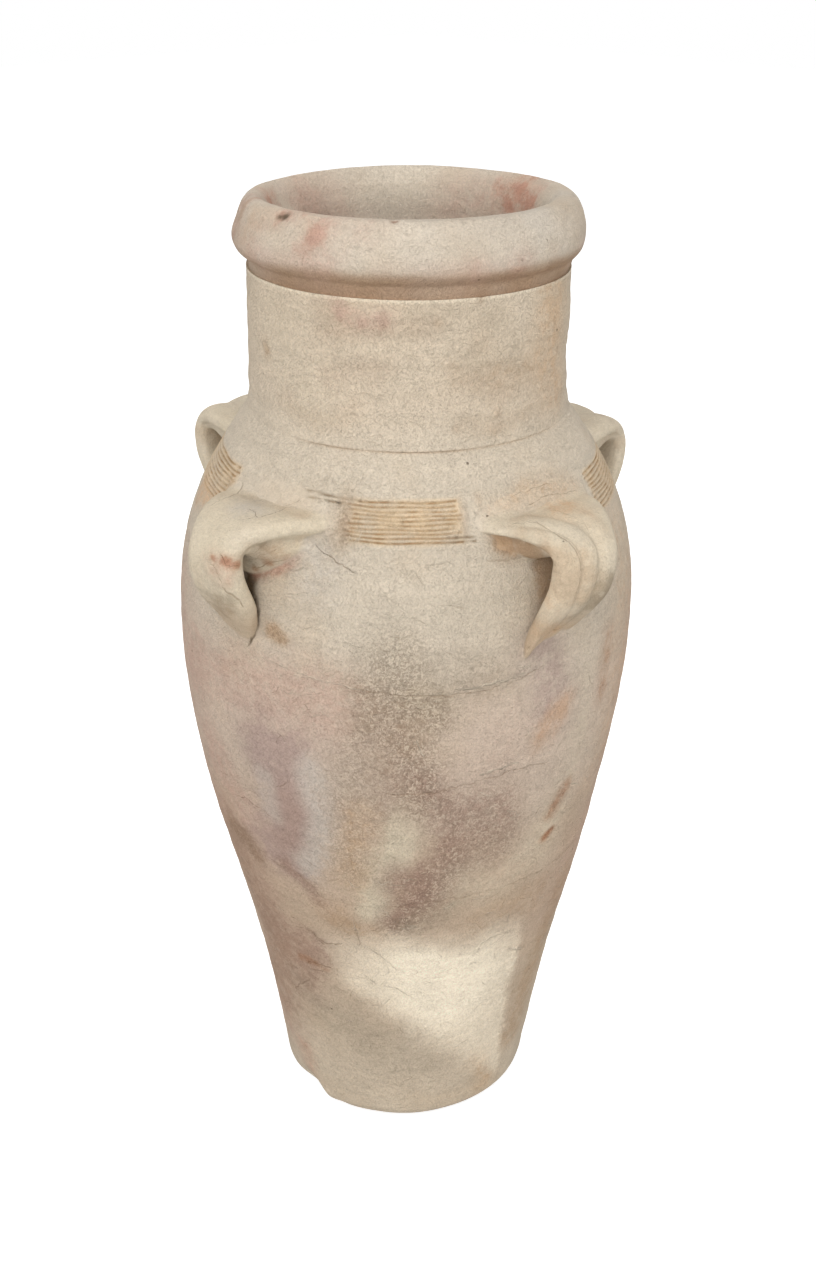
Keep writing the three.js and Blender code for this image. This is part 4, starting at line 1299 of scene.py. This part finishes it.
# Grooves along a strap's outer face: place across it at the root and at the crown, half width, depth
GROOVES_RIGHT = [(-1.0, -0.36, 0.11, 1.0), (-0.3, 0.28, 0.16, 2.0)]
GROOVES_LEFT = [(-0.15, -0.15, 0.4, 1.0), (0.5, 0.5, 0.2, 0.5)]
BACK_STRAP = ((54, 27, 26), (10, 9, 6.5), 2.8, (7, 0.1, 0.1, 0.42, 0.2), [(0, 0, 0.4, 1.8)], 0)
strap("front_right", 0, 0, (54, 27, 26), (8.5, 9, 6), 3.4, (8, 0.36, 0, 0.44, 0),
      GROOVES_RIGHT, -1, (-1, 0, 12))
strap("front_left", 0, -1, (54, 24, 17), (9, 11.5, 7), 2.6, (17, 0, 0.24, 0.52, 0.75),
      GROOVES_LEFT, 4, (1, 2, 1))
strap("back_right", 0, 0, *BACK_STRAP, (-1, 2, 0))
strap("back_left", 3, 0, *BACK_STRAP, (1, 2, 0))

# Pads: wet clay smeared round each upper root, thinning out to nothing
PAD_HALF_WIDTH = 29
PAD_HALF_LENGTH = 16
PAD_RISE = 2.2
PAD_DEPTH = 2.4
PAD_ROWS = 26
PAD_COLUMNS = 120


def pad(name, lift, peach):
    compass_at = heading(node_points("root_pad_" + name))
    root_z = neck_z - ROOT_DROP + lift
    turn, circle = noise_ring(PAD_COLUMNS)
    edge = 1 + 0.16 * cloudy(circle, 6, 3, hash_seed(name) + 3)
    share = np.linspace(0.02, 1, PAD_ROWS)[:, None]
    top = PAD_RISE * (1 - share ** 2) ** 2 - 0.5 * share ** 3
    bottom = -PAD_DEPTH + 0 * share
    share = np.r_[share, share[::-1]]
    stand = np.r_[top, bottom[::-1]] + 0 * turn
    sideways = share * edge * PAD_HALF_WIDTH * np.cos(turn)
    run = np.interp(root_z, wall_curve[:, 1], wall_run) + share * edge * PAD_HALF_LENGTH * np.sin(turn)
    radius, compass, z, front, follow = from_wall(sideways, run, stand, compass_at)
    points = around(radius, compass, z)
    smear = (0.4 * cloudy(points * (1, 1, 0.6), 7, 3, 67) + 0.25 * noise(points, 2.4, 69)) * (stand > -0.4)
    points = around(radius + follow + smear, compass, z)
    paint = wall_paint(front, z, points)
    smeared = peach * np.clip(0.8 + 1.4 * cloudy(points * (0.5, 0.5, 1.4), 8, 4, 68), 0, 1.6)
    paint[..., TINT] = lay(paint[..., TINT], "peach", 0.5 * smeared)
    paint[..., STAIN_AND_SHADE] = lay(paint[..., STAIN_AND_SHADE], "peach", 2 * smeared)
    paint[..., COVER] = np.maximum(paint[..., COVER], smeared)
    paint[..., SIDE], paint[..., DEEP] = cracked(points, points * (1, 1, 0), STRAP_CRACKS_AND_SHADOW)
    sharp_rows = [PAD_ROWS - 1, PAD_ROWS]
    points, paint = points[::-1], paint[::-1]
    place("smear_" + name, points, paint, False, sharp_rows, strap_clay, "root_pad_" + name)


for name, lift, peach in (
    ("front_right", 0, 0.16), ("front_left", 0, 0.05), ("back_right", 0, 0.25), ("back_left", 3, 0.25),
):
    pad(name, lift, peach)


# Stage: a white floor, white surroundings and soft lamps, in metres
WHITE = (1, 1, 1, 1)
FILL_STRENGTH = 0.5
FLOOR_GREY = (0.6, 0.6, 0.59, 1)
FLOOR_ROUGHNESS = 0.9
FLOOR_GLOW = 0.75
FLOOR_HALF = 4
FLOOR_DROP = 0.0005
AIM_HEIGHT = 0.2
# Lamps: name, angle from the front, angle up, distance, width, watts
LAMPS = [
    ("key", -10, 45, 1.8, 1.3, 15.6), ("low", 4, 8, 1.8, 1.3, 9), ("right", 72, 20, 1.9, 1.3, 6),
    ("left", -75, 20, 1.9, 1.3, 5.5), ("back", 180, 60, 1.8, 1.2, 5),
]


# Shows the second shader to the camera, straight or by reflection, and lights the jar with the first
def white_for_camera(tree, plain, white, end):
    nodes, links = tree.nodes, tree.links
    path = nodes.new("ShaderNodeLightPath").outputs
    seen = path["Is Camera Ray"]
    for kind in ("Is Glossy Ray", "Is Transmission Ray"):
        either = nodes.new("ShaderNodeMath")
        either.operation = "MAXIMUM"
        links.new(seen, either.inputs[0])
        links.new(path[kind], either.inputs[1])
        seen = either.outputs[0]
    mixer = nodes.new("ShaderNodeMixShader")
    for socket, shader in zip(mixer.inputs, (seen, plain, white)):
        links.new(shader, socket)
    links.new(mixer.outputs[0], nodes[end].inputs["Surface"])


def add_surroundings():
    world = bpy.data.worlds.new("studio")
    bpy.context.scene.world = world
    world.use_nodes = True
    fill = world.node_tree.nodes["Background"]
    fill.inputs["Color"].default_value = WHITE
    fill.inputs["Strength"].default_value = FILL_STRENGTH
    white = world.node_tree.nodes.new("ShaderNodeBackground")
    white.inputs["Color"].default_value = WHITE
    white_for_camera(world.node_tree, fill.outputs[0], white.outputs[0], "World Output")


def add_floor():
    mesh = bpy.data.meshes.new("floor")
    corners = [(FLOOR_HALF * x, FLOOR_HALF * y, 0) for x, y in ((-1, -1), (1, -1), (1, 1), (-1, 1))]
    mesh.from_pydata(corners, [], [(0, 1, 2, 3)])
    floor = add_object("floor", mesh)
    floor.location.z = -FLOOR_DROP
    material = bpy.data.materials.new("floor_white")
    material.use_nodes = True
    tree = material.node_tree
    shade = tree.nodes["Principled BSDF"]
    shade.inputs["Base Color"].default_value = FLOOR_GREY
    shade.inputs["Roughness"].default_value = FLOOR_ROUGHNESS
    glow = tree.nodes.new("ShaderNodeEmission")
    glow.inputs["Color"].default_value = WHITE
    glow.inputs["Strength"].default_value = FLOOR_GLOW
    both = tree.nodes.new("ShaderNodeAddShader")
    tree.links.new(shade.outputs[0], both.inputs[0])
    tree.links.new(glow.outputs[0], both.inputs[1])
    white_for_camera(tree, shade.outputs[0], both.outputs[0], "Material Output")
    mesh.materials.append(material)


def add_lamp(name, front, angle_up, distance, width, watts):
    data = bpy.data.lights.new(name, "AREA")
    data.shape = "DISK"
    data.size = width
    data.energy = watts
    lamp = add_object(name, data)
    compass, up = math.radians(front + FRONT_COMPASS), math.radians(angle_up)
    lamp.location = around(distance * math.cos(up), compass, AIM_HEIGHT + distance * math.sin(up))
    lamp.rotation_euler = aimed(compass, up)


add_surroundings()
add_floor()
for lamp in LAMPS:
    add_lamp(*lamp)

bpy.context.scene.view_settings.view_transform = "Standard"
